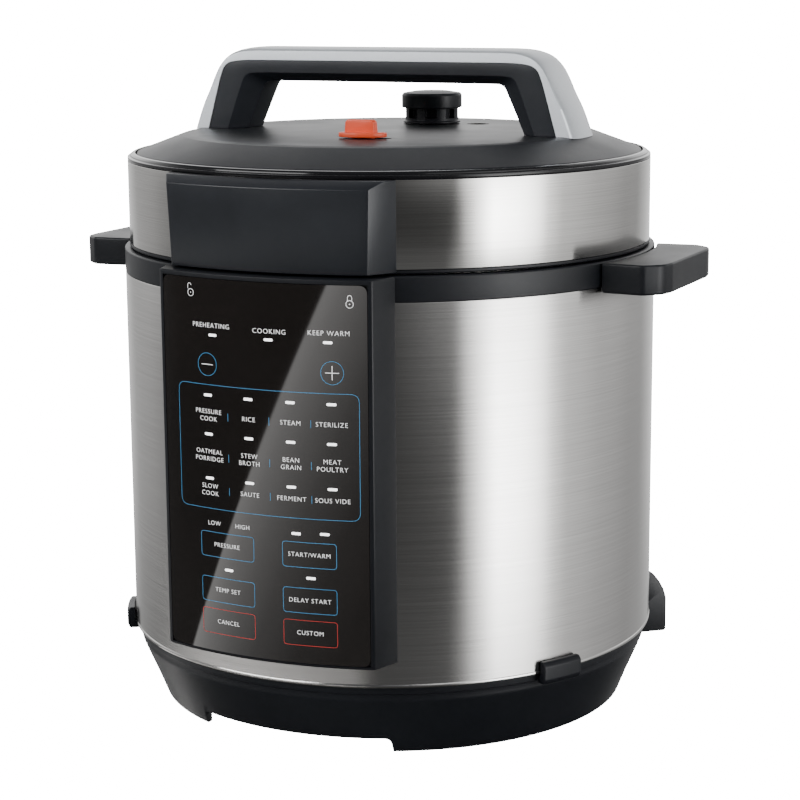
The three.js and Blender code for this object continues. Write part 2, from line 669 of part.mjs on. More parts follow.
piece(lid, 'lid_handle', gripCore, blackPlastic);
const lifted = coreGrip.map(([x, z], i) => [x + (i < 5 ? gap : 0.2), z + (i > 2 ? gap : 0)]);
const gripCap = cut(
  through([...mirrored(outerGrip), ...mirrored(lifted).reverse()], -gripHalf - 0.3, gripHalf + 0.3),
  coverRoom,
);
piece(lid, 'lid_handle_cap', gripCap, silverPaint);
for (const [name, x] of [['handle_screw_left', screwLeft], ['handle_screw_right', screwRight]]) {
  const under = coverTop - 3.6 - gap;
  const screw = turned([
    [0, under - 3.4], [5, under - 3.4], [5, under], [2, under], [2, rise(0.3)], [0, rise(0.3)],
  ], 12, x, 0);
  piece(lid, name, screw, screwSteel);
}

// --- steam outlet and float valve ----------------------------------------------------------

const plateAtPipe = panTop + 8.6;
const pipeTop = coverTop + 5.4;
const exhaustPipe = turned([
  [2.4, panTop + 1], [4, panTop + 1], [4, plateAtPipe + gap], [8.5, plateAtPipe + gap],
  [8.5, plateAtPipe + 3], [4, plateAtPipe + 3], [4, pipeTop], [2.4, pipeTop],
], 20, 0, steamY);
piece(lid, 'exhaust_pipe', exhaustPipe, darkSteel);
const pipeNut = cut(
  rod(0, steamY, 8, panTop + 2.6, panTop + 6.6, 6),
  rod(0, steamY, 4.3, panTop, panTop + 8, 20),
);
piece(lid, 'pipe_nut', pipeNut, screwSteel);
const steamShield = cut(
  turned([
    [0, panTop - 7], [14, panTop - 7], [16, panTop - 5], [16, panTop + 1.8], [9, panTop + 1.8],
    [9, panTop + 1], [15.2, panTop + 1], [15.2, panTop - 4.8], [13.6, panTop - 6.2], [0, panTop - 6.2],
  ], 20, 0, steamY),
  ...around(4, (angle) => (
    block(10, 20, -1, 1, panTop - 4, panTop).rotate([0, 0, angle]).translate([0, steamY, 0])
  )),
);
piece(lid, 'steam_shield', steamShield, darkSteel);

const knobBase = coverTop + gap;
const steamKnob = cut(
  join(
    turned([
      [0, coverTop + 17.4], [9, coverTop + 17], [14, coverTop + 15.6], [16, coverTop + 13.2],
      [16, coverTop + 8.3], [14.2, coverTop + 8.3], [14.2, coverTop + 1.5], [15.2, coverTop + 1.2],
      [15.2, knobBase], [5, knobBase], [5, coverTop + 6], [0, coverTop + 6],
    ], 24, 0, steamY),
    rod(0, steamY - 10, 1.5, coverTop - 6, coverTop + 3, 12),
  ),
  ...around(6, (angle) => {
    const slot = block(11.5, 18, -4, 4, coverTop + 2.8, coverTop + 7.9);
    return slot.rotate([0, 0, angle + 30]).translate([0, steamY, 0]);
  }),
);
piece(lid, 'steam_knob', steamKnob, blackPlastic);

const floatPin = turned([
  [0, panTop - 0.5], [3.2, panTop - 0.5], [3.2, coverTop - 7], [5, coverTop - 6], [5, coverTop - 1],
  [4.2, coverTop - 0.4], [0, coverTop - 0.4],
], 20, floatX, floatY);
piece(lid, 'float_valve', floatPin, darkSteel);
const floatSeal = turned([
  [0, panTop - 3.4], [3.4, panTop - 3.4], [6, panTop - 1.6], [6, panTop + 0.7], [3.6, panTop + 0.7],
  [3.6, panTop - 0.8], [0, panTop - 0.8],
], 20, floatX, floatY);
piece(lid, 'float_seal', floatSeal, silicone);

// --- quick-release slider ------------------------------------------------------------------

const leafTop = coverTop + 2.6;
const leaf = upright([
  [-11, -4], [-7, -7.4], [1, -8.6], [9, -6], [13, -2], [13, 2], [5, 5], [-8, 4],
].map(([x, y]) => [sliderX + x, sliderY + y]), coverTop + gap, leafTop);
const thumbTab = through([
  [-8.1, leafTop - 1], [8.1, leafTop - 1], [7.7, leafTop + 4.4], [5.6, leafTop + 6.1], [-5.6, leafTop + 6.1],
  [-7.7, leafTop + 4.4],
].map(([x, z]) => [sliderX + x, z]), sliderY - 3, sliderY + 2);
const stem = block(sliderX - 4, sliderX + 6, sliderY - 2.6, sliderY + 2.6, coverTop - 8, coverTop + 1);
piece(lid, 'release_slider', join(leaf, thumbTab, stem), orangePlastic);

const leverTop = coverTop - 8 - gap;
const rampPlan = steamY - 10;
const releaseLever = join(
  upright([
    [sliderX - 5, sliderY - 5], [sliderX + 11, sliderY - 5], [sliderX + 12, rampPlan + 3],
    [-11, rampPlan + 3], [-11, rampPlan - 4], [sliderX + 5, rampPlan - 4], [sliderX + 4, sliderY + 6],
    [sliderX - 5, sliderY + 6],
  ], leverTop - 2.4, leverTop),
  through([
    [-10, leverTop - 1], [4, leverTop - 1], [4, leverTop + 0.6], [1, leverTop + 0.9],
    [-8, leverTop + 4.1], [-10, leverTop + 4.1],
  ], rampPlan - 2.5, rampPlan + 2.5),
);
piece(lid, 'release_lever', releaseLever, partBlack);

export default cooker;
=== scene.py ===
import math

import bmesh
import bpy
import numpy as np
from mathutils import Matrix, Vector


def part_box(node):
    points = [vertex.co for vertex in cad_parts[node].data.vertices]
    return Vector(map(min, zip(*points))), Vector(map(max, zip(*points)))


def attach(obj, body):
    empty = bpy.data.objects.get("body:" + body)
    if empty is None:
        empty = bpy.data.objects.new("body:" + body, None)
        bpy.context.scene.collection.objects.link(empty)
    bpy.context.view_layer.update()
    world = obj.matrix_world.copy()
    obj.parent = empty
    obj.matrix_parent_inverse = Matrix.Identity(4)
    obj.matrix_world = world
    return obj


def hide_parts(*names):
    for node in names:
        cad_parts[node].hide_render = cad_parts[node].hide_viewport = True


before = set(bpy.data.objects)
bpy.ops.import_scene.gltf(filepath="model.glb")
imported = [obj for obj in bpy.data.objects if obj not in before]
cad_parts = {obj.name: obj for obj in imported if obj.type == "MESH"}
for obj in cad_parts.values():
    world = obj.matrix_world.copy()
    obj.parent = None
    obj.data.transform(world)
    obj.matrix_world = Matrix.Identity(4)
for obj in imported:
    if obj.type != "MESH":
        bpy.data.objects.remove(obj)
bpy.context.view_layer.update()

# --- Studio ---
# The cooker stands on a pale floor in a soft white studio. The camera looks slightly down at
# it, from the right of the control panel, through a long lens.
# Lengths in this file are millimetres until a mesh is made, and angles are degrees.


def span(node):
    """Lowest and highest corner of a CAD node's box."""
    low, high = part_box(node)
    return Vector(low) * 1000, Vector(high) * 1000


shell_low, shell_high = span("body_shell")
shell_radius = shell_high.x

VIEW_TURN = 25.1
VIEW_DISTANCE = 8.196 * shell_radius
VIEW_HEIGHT = shell_low.z + 2.4474 * shell_radius
VIEW_TILT = 11.202
VIEW_AIM = 0.239
VIEW_ROLL = -0.393
LENS = 97.668
LIGHTS_AIM = 0.16


def compass(turn):
    """Unit vector on the table; 0 is the front of the cooker, positive goes to its right."""
    angle = math.radians(turn)
    return Vector((math.sin(angle), -math.cos(angle), 0))


def set_camera():
    data = bpy.data.cameras.new("camera")
    data.lens = LENS
    data.sensor_width = 36
    data.clip_end = 100
    camera = bpy.data.objects.new("camera", data)
    bpy.context.scene.collection.objects.link(camera)
    heading = Matrix.Rotation(math.radians(-VIEW_AIM), 3, "Z") @ -compass(VIEW_TURN)
    tilt = math.radians(VIEW_TILT)
    ahead = heading * math.cos(tilt) + Vector((0, 0, -math.sin(tilt)))
    right = ahead.cross(Vector((0, 0, 1))).normalized()
    up = right.cross(ahead)
    roll = math.radians(VIEW_ROLL)
    right, up = (
        right * math.cos(roll) + up * math.sin(roll),
        up * math.cos(roll) - right * math.sin(roll),
    )
    place = compass(VIEW_TURN) * VIEW_DISTANCE + Vector((0, 0, VIEW_HEIGHT))
    turn = Matrix((right, up, -ahead)).transposed().to_4x4()
    camera.matrix_world = Matrix.Translation(place / 1000) @ turn
    bpy.context.scene.camera = camera


def soft_box(name, turn, distance, height, width, tall, watts):
    """A rectangular studio light that faces the cooker's axis; its lengths are metres."""
    data = bpy.data.lights.new(name, "AREA")
    data.shape = "RECTANGLE"
    data.size = width
    data.size_y = tall
    data.energy = watts
    light = bpy.data.objects.new(name, data)
    light.location = compass(turn) * distance + Vector((0, 0, height))
    aim = Vector((0, 0, LIGHTS_AIM)) - light.location
    light.rotation_euler = aim.to_track_quat("-Z", "Y").to_euler()
    bpy.context.scene.collection.objects.link(light)


class Nodes:
    """Short hand for wiring a node tree."""

    def __init__(self, tree):
        self.tree = tree
        tree.nodes.clear()

    def add(self, kind, settings=None, **inputs):
        node = self.tree.nodes.new(kind)
        for key, value in (settings or {}).items():
            setattr(node, key, value)
        for key, value in inputs.items():
            label = int(key[1:]) if key[0] == "_" else key.replace("_", " ")
            socket = node.inputs[label]
            if isinstance(value, bpy.types.NodeSocket):
                self.tree.links.new(value, socket)
            else:
                socket.default_value = value
        return node

    def math(self, operation, *values):
        return self.add(
            "ShaderNodeMath", {"operation": operation}, **{f"_{i}": v for i, v in enumerate(values)}
        ).outputs[0]

    def ramp(self, factor, stops, ease="LINEAR"):
        node = self.add("ShaderNodeValToRGB", _0=factor)
        node.color_ramp.interpolation = ease
        for i, (place, shade) in enumerate(stops):
            stop = node.color_ramp.elements[i] if i < 2 else node.color_ramp.elements.new(place)
            stop.position = place
            level = shade if isinstance(shade, tuple) else (shade, shade, shade)
            stop.color = (*level, 1)
        return node.outputs[0]


# How bright the studio is round the cooker: pairs of a direction, in degrees from the camera
# towards the cooker's right, and a level. HIGH is above the horizon and lights the lid, WALLS is
# at the horizon and shows in the upright steel, and LOW lies between there and the dark floor.
STUDIO_HIGH = (
    (-180, 2.2), (-130, 1.8), (-100, 0.6), (-60, 0.15), (0, 0.1), (28, 0.4), (42, 6), (60, 6),
    (75, 1.6), (100, 0.9), (130, 1.8), (180, 2.2),
)
STUDIO_WALLS = (
    (-180, 1.25), (-163, 0.95), (-145, 0.54), (-125, 0.47), (-116, 0.38), (-95, 0.2), (-84, 0.08),
    (0, 0.05), (16, 0.05), (26, 0.07), (30, 0.3), (35, 2.0), (39.5, 6), (45, 15), (56, 11.5),
    (63, 7.5), (67, 4.9), (71, 2.3), (79, 1.14), (99, 0.75), (123, 0.47), (137, 0.45), (150, 0.8),
    (167, 1.3), (180, 1.3),
)
STUDIO_LOW = (
    (-180, 0.6), (-163, 0.4), (-139, 0.25), (-120, 0.22), (-95, 0.15), (0, 0.14), (24, 0.16),
    (31, 0.5), (37, 1.2), (45, 1.7), (60, 1.5), (67, 1.1), (75, 0.8), (99, 0.55), (123, 0.4),
    (150, 0.5), (180, 0.6),
)
CEILING = 0.2
BACKDROP = 16.0
FLOOR_GLOW = 1.3
# The side lamp lies to the left of the camera. Its near edge slants by LAMP_SLANT degrees for
# each unit of height, and it fades over LAMP_SPREAD degrees.
SIDE_LAMP = 3.6
LAMP_SLANT = -335.0
LAMP_LEVEL = 0.057
LAMP_LEAD = 5.0
LAMP_SPREAD = 65.0
LAMP_FADE = (
    (0.066, 0), (0.078, 1), (0.17, 0.74), (0.32, 0.47), (0.48, 0.26), (0.74, 0.08), (1.0, 0.02),
)


def light_studio():
    world = bpy.data.worlds.new("studio")
    bpy.context.scene.world = world
    world.use_nodes = True
    n = Nodes(world.node_tree)
    way = n.add("ShaderNodeSeparateXYZ", _0=n.add("ShaderNodeTexCoord").outputs["Generated"])
    x, y, z = way.outputs
    turn = n.math("ARCTAN2", x, n.math("MULTIPLY", y, -1.0))
    share = n.math("ADD", n.math("DIVIDE", turn, 2 * math.pi), 0.5 - VIEW_TURN / 360)
    share = n.math("FRACT", n.math("ADD", share, 1.0))
    smooth = {"interpolation_type": "SMOOTHSTEP"}

    # z is the height of a direction: 0 is level and 1 is straight up.
    def blend(value, start, end):
        inputs = {"Value": value, "From_Min": start, "From_Max": end}
        return n.add("ShaderNodeMapRange", smooth, **inputs).outputs[0]

    def mix(factor, first, second):
        return n.add("ShaderNodeMixRGB", _0=factor, _1=first, _2=second).outputs[0]

    high, walls, low = (
        n.ramp(share, [((a + 180) / 360, level / BACKDROP) for a, level in table])
        for table in (STUDIO_HIGH, STUDIO_WALLS, STUDIO_LOW)
    )
    walls = mix(blend(z, -0.17, -0.31), walls, low)
    walls = mix(blend(z, -0.36, -0.6), walls, (0.002, 0.002, 0.002, 1))
    degrees = n.math("MULTIPLY", n.math("SUBTRACT", share, 0.5), 360.0)
    slant = n.math("MULTIPLY", n.math("ADD", z, LAMP_LEVEL), LAMP_SLANT)
    past_edge = n.math("ADD", n.math("ADD", degrees, slant), LAMP_LEAD)
    lamp = n.ramp(n.math("DIVIDE", past_edge, LAMP_SPREAD), LAMP_FADE)
    lamp = n.math("MULTIPLY", lamp, blend(degrees, -7.0, -18.0))
    side = tuple(SIDE_LAMP / BACKDROP * tint for tint in (1.0, 0.985, 0.97))
    walls = mix(lamp, walls, (*side, 1))
    walls = mix(blend(z, 0.0, 0.12), walls, high)
    roof = tuple(CEILING / BACKDROP * tint for tint in (0.96, 0.98, 1.04))
    shade = mix(blend(z, 0.28, 0.6), walls, (*roof, 1))
    seen = n.add("ShaderNodeLightPath").outputs["Is Camera Ray"]
    surface = n.add("ShaderNodeBackground", Color=mix(seen, shade, (1, 1, 1, 1)), Strength=BACKDROP)
    n.add("ShaderNodeOutputWorld", Surface=surface.outputs[0])


def lay_floor():
    size = 30.0
    corners = [(-size, -size, 0), (size, -size, 0), (size, size, 0), (-size, size, 0)]
    mesh = bpy.data.meshes.new("floor")
    mesh.from_pydata(corners, [], [(0, 1, 2, 3)])
    floor = bpy.data.objects.new("floor", mesh)
    bpy.context.scene.collection.objects.link(floor)
    paint = bpy.data.materials.new("floor_paint")
    paint.use_nodes = True
    n = Nodes(paint.node_tree)
    mottle = n.add("ShaderNodeTexNoise", Scale=3.0, Detail=2.0).outputs[0]
    colour = n.ramp(mottle, [(0.0, (0.93, 0.93, 0.93)), (1.0, (0.96, 0.96, 0.96))])
    shader = n.add("ShaderNodeBsdfPrincipled", Base_Color=colour, Roughness=0.9)
    glow = n.add("ShaderNodeEmission", Color=colour, Strength=FLOOR_GLOW * BACKDROP)
    seen = n.add("ShaderNodeLightPath").outputs["Is Camera Ray"]
    lit = n.add("ShaderNodeMixShader", _0=seen, _1=shader.outputs[0], _2=glow.outputs[0])
    n.add("ShaderNodeOutputMaterial", Surface=lit.outputs[0])
    mesh.materials.append(paint)
    floor.visible_glossy = False


set_camera()
light_studio()
soft_box("key_light", turn=60, distance=1.5, height=1.6, width=1.2, tall=1.2, watts=5)
soft_box("fill_light", turn=-35, distance=1.9, height=1.3, width=1.6, tall=1.0, watts=42)
soft_box("back_light", turn=195, distance=1.6, height=1.5, width=1.6, tall=0.8, watts=4)
lay_floor()

# --- Base ---
# One moulding in matt black polypropylene: a tray that flares out to meet the steel body and
# stands on a low skirt, raised at the front and back. It is screwed to posts under the pot.


def rect(left, right, low, high):
    return [(left, low), (right, low), (right, high), (left, high)]


def fillet(points, radius, closed=True, steps=5):
    """Rounds the corners of a flat outline with arcs of at most the given radius."""
    rounded = []
    count = len(points)
    for i, point in enumerate(points):
        here = Vector(point).to_2d()
        size = radius[i] if isinstance(radius, (list, tuple)) else radius
        if size <= 0 or (not closed and i in (0, count - 1)):
            rounded.append(tuple(here))
            continue
        before = Vector(points[i - 1]).to_2d() - here
        after = Vector(points[(i + 1) % count]).to_2d() - here
        corner = before.angle(after)
        if corner > math.radians(176):
            rounded.append(tuple(here))
            continue
        reach = min(size / math.tan(corner / 2), 0.48 * before.length, 0.48 * after.length)
        start, end = here + before.normalized() * reach, here + after.normalized() * reach
        for k in range(steps + 1):
            t = k / steps
            rounded.append(tuple(start * (1 - t) ** 2 + here * 2 * t * (1 - t) + end * t * t))
    return rounded


# Round pieces have this many sides where their edge is seen close up.
FINE = 240


def piece_from(name, points, faces):
    mesh = bpy.data.meshes.new(name)
    mesh.from_pydata([Vector(p) / 1000 for p in points], [], faces)
    mesh.update()
    piece = bpy.data.objects.new(name, mesh)
    bpy.context.scene.collection.objects.link(piece)
    return piece


def turned(name, profile, steps=192, centre=(0, 0)):
    """A turned piece; the profile is a closed list of (radius, height)."""
    points, rings = [], []
    for radius, height in profile:
        if radius < 1e-6:
            rings.append([len(points)])
            points.append((centre[0], centre[1], height))
            continue
        rings.append(list(range(len(points), len(points) + steps)))
        for k in range(steps):
            angle = 2 * math.pi * k / steps
            x, y = centre[0] + radius * math.sin(angle), centre[1] - radius * math.cos(angle)
            points.append((x, y, height))
    faces = []
    for low, high in zip(rings, rings[1:] + rings[:1]):
        if len(low) == 1 and len(high) == 1:
            continue
        for k in range(steps):
            after = (k + 1) % steps
            corners = [low[k % len(low)], low[after % len(low)]]
            corners += [high[after % len(high)], high[k % len(high)]]
            faces.append(list(dict.fromkeys(corners)))
    return piece_from(name, points, faces)


def side_faces(count, rows=1):
    """The faces between neighbouring rows of points, each a closed loop of count points."""
    faces = []
    for row in range(rows):
        a, b = row * count, (row + 1) * count
        faces += [[a + k, a + (k + 1) % count, b + (k + 1) % count, b + k] for k in range(count)]
    return faces


def prism(name, outline, low, high, turn=None):
    """A straight piece over a flat outline; turn stands it up or swings it round."""
    count = len(outline)
    points = [(x, y, z) for z in (low, high) for x, y in outline]
    faces = [list(range(count))[::-1], [count + i for i in range(count)]]
    if turn:
        points = [turn @ Vector(p) for p in points]
    return piece_from(name, points, faces + side_faces(count))


def baked(piece):
    """Applies a piece's modifiers to its mesh."""
    bpy.context.view_layer.update()
    shaped = piece.evaluated_get(bpy.context.evaluated_depsgraph_get())
    mesh = bpy.data.meshes.new_from_object(shaped)
    piece.modifiers.clear()
    piece.data = mesh


def face_out(piece):
    """Joins doubled points and turns every face outwards."""
    shape = bmesh.new()
    shape.from_mesh(piece.data)
    bmesh.ops.remove_doubles(shape, verts=shape.verts, dist=1e-7)
    bmesh.ops.recalc_face_normals(shape, faces=shape.faces)
    shape.to_mesh(piece.data)
    shape.free()


def cut(piece, *tools, operation="DIFFERENCE"):
    """Takes the tools away from a piece, or joins them to it, and removes them."""
    face_out(piece)
    for tool in tools:
        face_out(tool)
        step = piece.modifiers.new("cut", "BOOLEAN")
        step.object = tool
        step.operation = operation
        step.solver = "EXACT"
    baked(piece)
    for tool in tools:
        bpy.data.objects.remove(tool)


def ease_edges(piece, width, segments=3, limit=38):
    """Breaks the edges with a small round, as a mould or a press leaves them."""
    face_out(piece)
    step = piece.modifiers.new("edges", "BEVEL")
    step.width = width / 1000
    step.segments = segments
    step.limit_method = "ANGLE"
    step.angle_limit = math.radians(limit)
    step.harden_normals = False
    baked(piece)


def fit(piece, body, slot, material, *nodes, smooth=32):
    """Finishes a piece: smooth shading, its material, and the CAD nodes it stands for."""
    face_out(piece)
    mesh = piece.data
    mesh.polygons.foreach_set("use_smooth", [True] * len(mesh.polygons))
    mesh.set_sharp_from_angle(angle=math.radians(smooth))
    mesh.materials.clear()
    mesh.materials.append(material)
    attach(piece, body)
    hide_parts(*nodes)


class Finish(Nodes):
    """A material's nodes; patterns are laid out in the piece's own frame."""

    def __init__(self, name):
        self.material = bpy.data.materials.new(name)
        self.material.use_nodes = True
        super().__init__(self.material.node_tree)
        self.place = self.add("ShaderNodeTexCoord").outputs["Object"]

    def noise(self, scale, detail, place=None):
        place = place or self.place
        return self.add("ShaderNodeTexNoise", Vector=place, Scale=scale, Detail=detail).outputs[0]

    def spread(self, value, low, high, start=0.3, end=0.7):
        """Spreads a pattern's values over a range, such as a range of roughness."""
        inputs = {"Value": value, "From_Min": start, "From_Max": end, "To_Min": low, "To_Max": high}
        return self.add("ShaderNodeMapRange", **inputs).outputs[0]

    def bump(self, height, strength, distance=0.0002):
        inputs = {"Strength": strength, "Distance": distance, "Height": height}
        return self.add("ShaderNodeBump", **inputs).outputs[0]

    def done(self, **inputs):
        shader = self.add("ShaderNodeBsdfPrincipled", **inputs)
        self.add("ShaderNodeOutputMaterial", Surface=shader.outputs[0])
        return self.material


def tinted(colour, share):
    return tuple(min(c * share, 1) for c in colour)


def moulded_plastic(name, colour, roughness, grain=0.12, grain_size=0.35, shine=0.5):
    """Injection moulded plastic: slight clouding and a fine spark-eroded grain."""
    n = Finish(name)
    clouds = n.noise(22.0, 3.0)
    return n.done(
        Base_Color=n.ramp(clouds, [(0.3, tinted(colour, 0.86)), (0.7, tinted(colour, 1.14))]),
        Roughness=n.spread(clouds, roughness * 0.9, min(roughness * 1.12, 1)),
        Normal=n.bump(n.noise(1000 / grain_size, 2.0), grain), Specular_IOR_Level=shine,
    )


DEEP_BLACK = (0.0066, 0.0076, 0.0101)
black_plastic = moulded_plastic("matt_black_polypropylene", DEEP_BLACK, 0.4, shine=0.26)


def fit_black(piece, body, *nodes, smooth=32):
    fit(piece, body, "black_plastic", black_plastic, *nodes, smooth=smooth)


base_low, base_high = span("base_shell")
skirt_radius = shell_radius - 15.2
rim_radius = shell_radius - 2
FLOOR_LOW = 9
FLOOR_HIGH = 11.5
RECESS_TURN = 25
RECESS_TALL = 8.7
inlet_low, inlet_high = span("inlet_housing")
INLET_TURN = 130
INLET_HALF = 18
INLET_PLAY = 0.3
VENTS = 24
swing = Matrix.Rotation(math.radians(INLET_TURN), 3, "Z")


def base_wall():
    """Outside of the tray from the table up: a near upright skirt that sweeps out to the rim."""
    low, foot = skirt_radius, base_low.z
    bend = [
        (low, foot), (low + 1.6, foot + 4), (low + 4.6, foot + 11.6),
        (low + 10.0, shell_low.z - 12.6), (low + 12.0, shell_low.z - 7.5),
        (rim_radius - 1, shell_low.z - 3.9),
    ]
    return fillet(bend, [0, 12, 14, 14, 6, 0], closed=False, steps=6)


def build_base():
    outside = base_wall()
    rim = [
        (rim_radius, shell_low.z - 3.4), (rim_radius, base_high.z - 0.5),
        (rim_radius - 0.5, base_high.z), (rim_radius - 3, base_high.z),
        (rim_radius - 3.5, shell_low.z - 4), (skirt_radius + 7, shell_low.z - 12.6),
        (skirt_radius + 1.5, FLOOR_HIGH), (0, FLOOR_HIGH),
    ]
    inside = [(0, FLOOR_LOW), (skirt_radius - 3, FLOOR_LOW), (skirt_radius - 3.4, base_low.z)]
    base = turned("base_tray", inside + outside + rim, FINE)
    half = skirt_radius * math.sin(math.radians(RECESS_TURN))
    arch = fillet(rect(-half, half, -5, RECESS_TALL), [0, 0, 3, 3])
    stand = Matrix.Rotation(math.radians(90), 3, "X")
    front = prism("front_recess", arch, 96, 160, stand)
    back = prism("back_recess", arch, -160, -96, stand)
    half = INLET_HALF + INLET_PLAY
    notch = prism("inlet_notch", rect(-half, half, -170, -100), inlet_low.z - INLET_PLAY, 70, swing)
    vents = []
    for k in range(VENTS):
        angle = 2 * math.pi * k / VENTS
        radius = 40 + 22 * (k % 2)
        x, y = radius * math.sin(angle), radius * math.cos(angle)
        slot = fillet(rect(-1.6, 1.6, -7, 7), 1.5)
        spin = Matrix.Rotation(-angle, 2)
        vents.append(prism("vent", [tuple(spin @ Vector(p) + Vector((x, y))) for p in slot], 0, 20))
    cut(base, front, back, notch, *vents)
    ease_edges(base, 0.4, 2)
    fit_black(base, "cooker_body", "base_shell")


build_base()

# --- Feet ---
# Four soft rubber pads pressed up into the underside of the tray, each with a rounded edge and
# a raised ring that grips the table.

rubber = moulded_plastic("foot_rubber", (0.018, 0.018, 0.018), 0.75, 0.3, 0.5)


def build_foot(number):
    low, high = span(f"foot_{number}")
    middle = (low + high) / 2
    radius = (high.x - low.x) / 2
    profile = [
        (0, 0.8), (4.4, 0.8), (5, 0), (radius - 1.4, 0), (radius - 0.5, 0.6), (radius, 1.8),
        (radius, high.z), (0, high.z),
    ]
    foot = turned(f"foot_pad_{number}", profile, 48, (middle.x, middle.y))
    fit(foot, "cooker_body", "rubber", rubber, f"foot_{number}")


for number in range(1, 5):
    build_foot(number)

# --- Screws ---
# Zinc plated screws: three up through the tray, two up into the lid handle, one in the middle
# of the lid. They keep the plain turned shape and get a plated finish.


def plated_metal(name, colour, roughness, scratch=0.05, size=60.0):
    """Bare or plated metal with soft blotches and fine handling marks."""
    n = Finish(name)
    blotch = n.noise(size, 4.0)
    return n.done(
        Base_Color=n.ramp(blotch, [(0.3, tinted(colour, 0.85)), (0.7, colour)]), Metallic=1.0,
        Roughness=n.spread(blotch, roughness * 0.85, roughness * 1.2),
        Normal=n.bump(n.noise(size * 14, 3.0), scratch),
    )


def refinish(node, material):
    """Gives a carried-over CAD node its finish."""
    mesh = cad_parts[node].data
    mesh.materials.clear()
    mesh.materials.append(material)


zinc = plated_metal("zinc_plate", (0.62, 0.63, 0.64), 0.3)
screws = [f"base_screw_{k}" for k in (1, 2, 3)]
for screw in screws + ["handle_screw_left", "handle_screw_right", "lid_centre_screw", "pipe_nut"]:
    refinish(screw, zinc)

# --- Steel body ---
# A rolled tube of thin stainless steel, brushed round the body, with a bead along its bottom
# edge and openings for the panel's board, the cup's pocket and the mains inlet.


def brushed_steel(name, colour, roughness=0.21, lines=0.1, stretch=0.86):
    """Stainless steel with fine level strokes, which draw reflections out upright."""
    n = Finish(name)
    flat = {"vector_type": "POINT"}

    def strokes(across, upright, detail):
        scale = (across, across, upright)
        stretched = n.add("ShaderNodeMapping", flat, Vector=n.place, Scale=scale).outputs[0]
        return n.noise(1.0, detail, stretched)

    fine, wide = strokes(14, 5200, 2.0), strokes(5, 900, 1.0)
    round_it = n.add("ShaderNodeTangent", {"direction_type": "RADIAL", "axis": "Z"}).outputs[0]
    return n.done(
        Base_Color=n.ramp(fine, [(0.32, tinted(colour, 0.84)), (0.68, colour)]), Metallic=1.0,
        Roughness=n.spread(wide, roughness * 0.95, roughness * 1.06),
        Normal=n.bump(fine, lines, 0.00003), Anisotropic=stretch, Anisotropic_Rotation=0.25,
        Tangent=round_it,
    )


body_steel = brushed_steel("brushed_stainless", (0.63, 0.62, 0.605), lines=0.12)
SHELL_WALL = 0.8
panel_low, panel_high = span("panel_frame")
board_high = span("control_board")[1]
cup_low, cup_high = span("condensation_cup")
bracket_low, bracket_high = span("cup_bracket")


def build_shell():
    r = shell_radius
    profile = [
        (r - SHELL_WALL, shell_low.z + 0.2), (r - 0.5, shell_low.z), (r - 0.15, shell_low.z + 0.2),
        (r, shell_low.z + 0.6), (r, shell_low.z + 1.1), (r - 0.12, shell_low.z + 1.5),
        (r - 0.35, shell_low.z + 1.8), (r - 0.35, shell_high.z - 0.5), (r - 0.5, shell_high.z),
        (r - SHELL_WALL, shell_high.z - 0.2),
    ]
    shell = turned("steel_body", profile, 256)
    half = board_high.x + 3
    board_window = prism(
        "board_window", rect(-half, half, -150, -100), panel_low.z + 12, shell_high.z - 12
    )
    half = cup_high.x + 2.5
    cup_window = prism("cup_window", rect(-half, half, 100, 150), cup_low.z - 4, cup_high.z + 5)
    half = INLET_HALF + INLET_PLAY
    inlet_window = prism(
        "inlet_window", rect(-half, half, -160, -100), 20, inlet_high.z + INLET_PLAY, swing
    )
    cut(shell, board_window, cup_window, inlet_window)
    fit(shell, "cooker_body", "brushed_steel", body_steel, "body_shell")


build_shell()

# --- Shell clips ---
# Two small black tabs that hook up over the beaded edge and hold the steel body to the tray.


def build_clip(side, turn):
    low, high = span(f"shell_clip_{side}")
    r = shell_radius
    section = fillet(
        [(rim_radius + 0.3, low.z), (r + 3.4, low.z), (r + 4.4, low.z + 2.5), (r + 4.4, high.z - 2),
         (r + 3, high.z), (r + 0.3, high.z), (r + 0.3, shell_low.z - 0.3),
         (rim_radius + 0.3, shell_low.z - 0.3)],
        [0, 1.5, 2, 2, 1.5, 0, 0, 0],
    )
    points = []
    turns = np.linspace(turn - 4.7, turn + 4.7, 13)
    for angle in turns:
        way = compass(angle)
        points += [(way.x * radius, way.y * radius, height) for radius, height in section]
    count = len(section)
    faces = [list(range(count)), [len(points) - 1 - k for k in range(count)]]
    clip = piece_from(f"clip_{side}", points, faces + side_faces(count, len(turns) - 1))
    ease_edges(clip, 0.5, 3, 50)
    fit_black(clip, "cooker_body", f"shell_clip_{side}")


build_clip("left", -61)
build_clip("right", 61)

# --- Collar ---
# A black moulded ring round the top of the steel body. The outer pot's flange rests in it, and
# the lid's lower ring closes just above it.

collar_low, collar_high = span("collar_ring")
flange_low, flange_high = span("outer_pot")
flange_radius = flange_high.x
mouth_radius = flange_radius - 5.5


def build_collar():
    out, top = collar_high.x, collar_high.z
    seat = flange_high.z - 2.3
    profile = fillet(
        [(out, shell_high.z + 0.3), (out, top), (flange_radius + 0.7, top),
         (flange_radius + 0.7, seat), (mouth_radius + 1.6, seat), (mouth_radius + 1.6, seat - 3.1),
         (out - 3.3, seat - 3.1),
         (out - 3.3, collar_low.z), (out - 0.9, collar_low.z), (out - 0.9, shell_high.z + 0.3)],
        [0.3, 1.0, 0.6, 0, 0.3, 0, 0, 0.3, 0.3, 0],
    )
    collar = turned("collar", profile, FINE)
    fit_black(collar, "cooker_body", "collar_ring")


build_collar()

# --- Side handles ---
# Two flat black grips, flush with the top of the collar, hollow underneath for the fingertips.


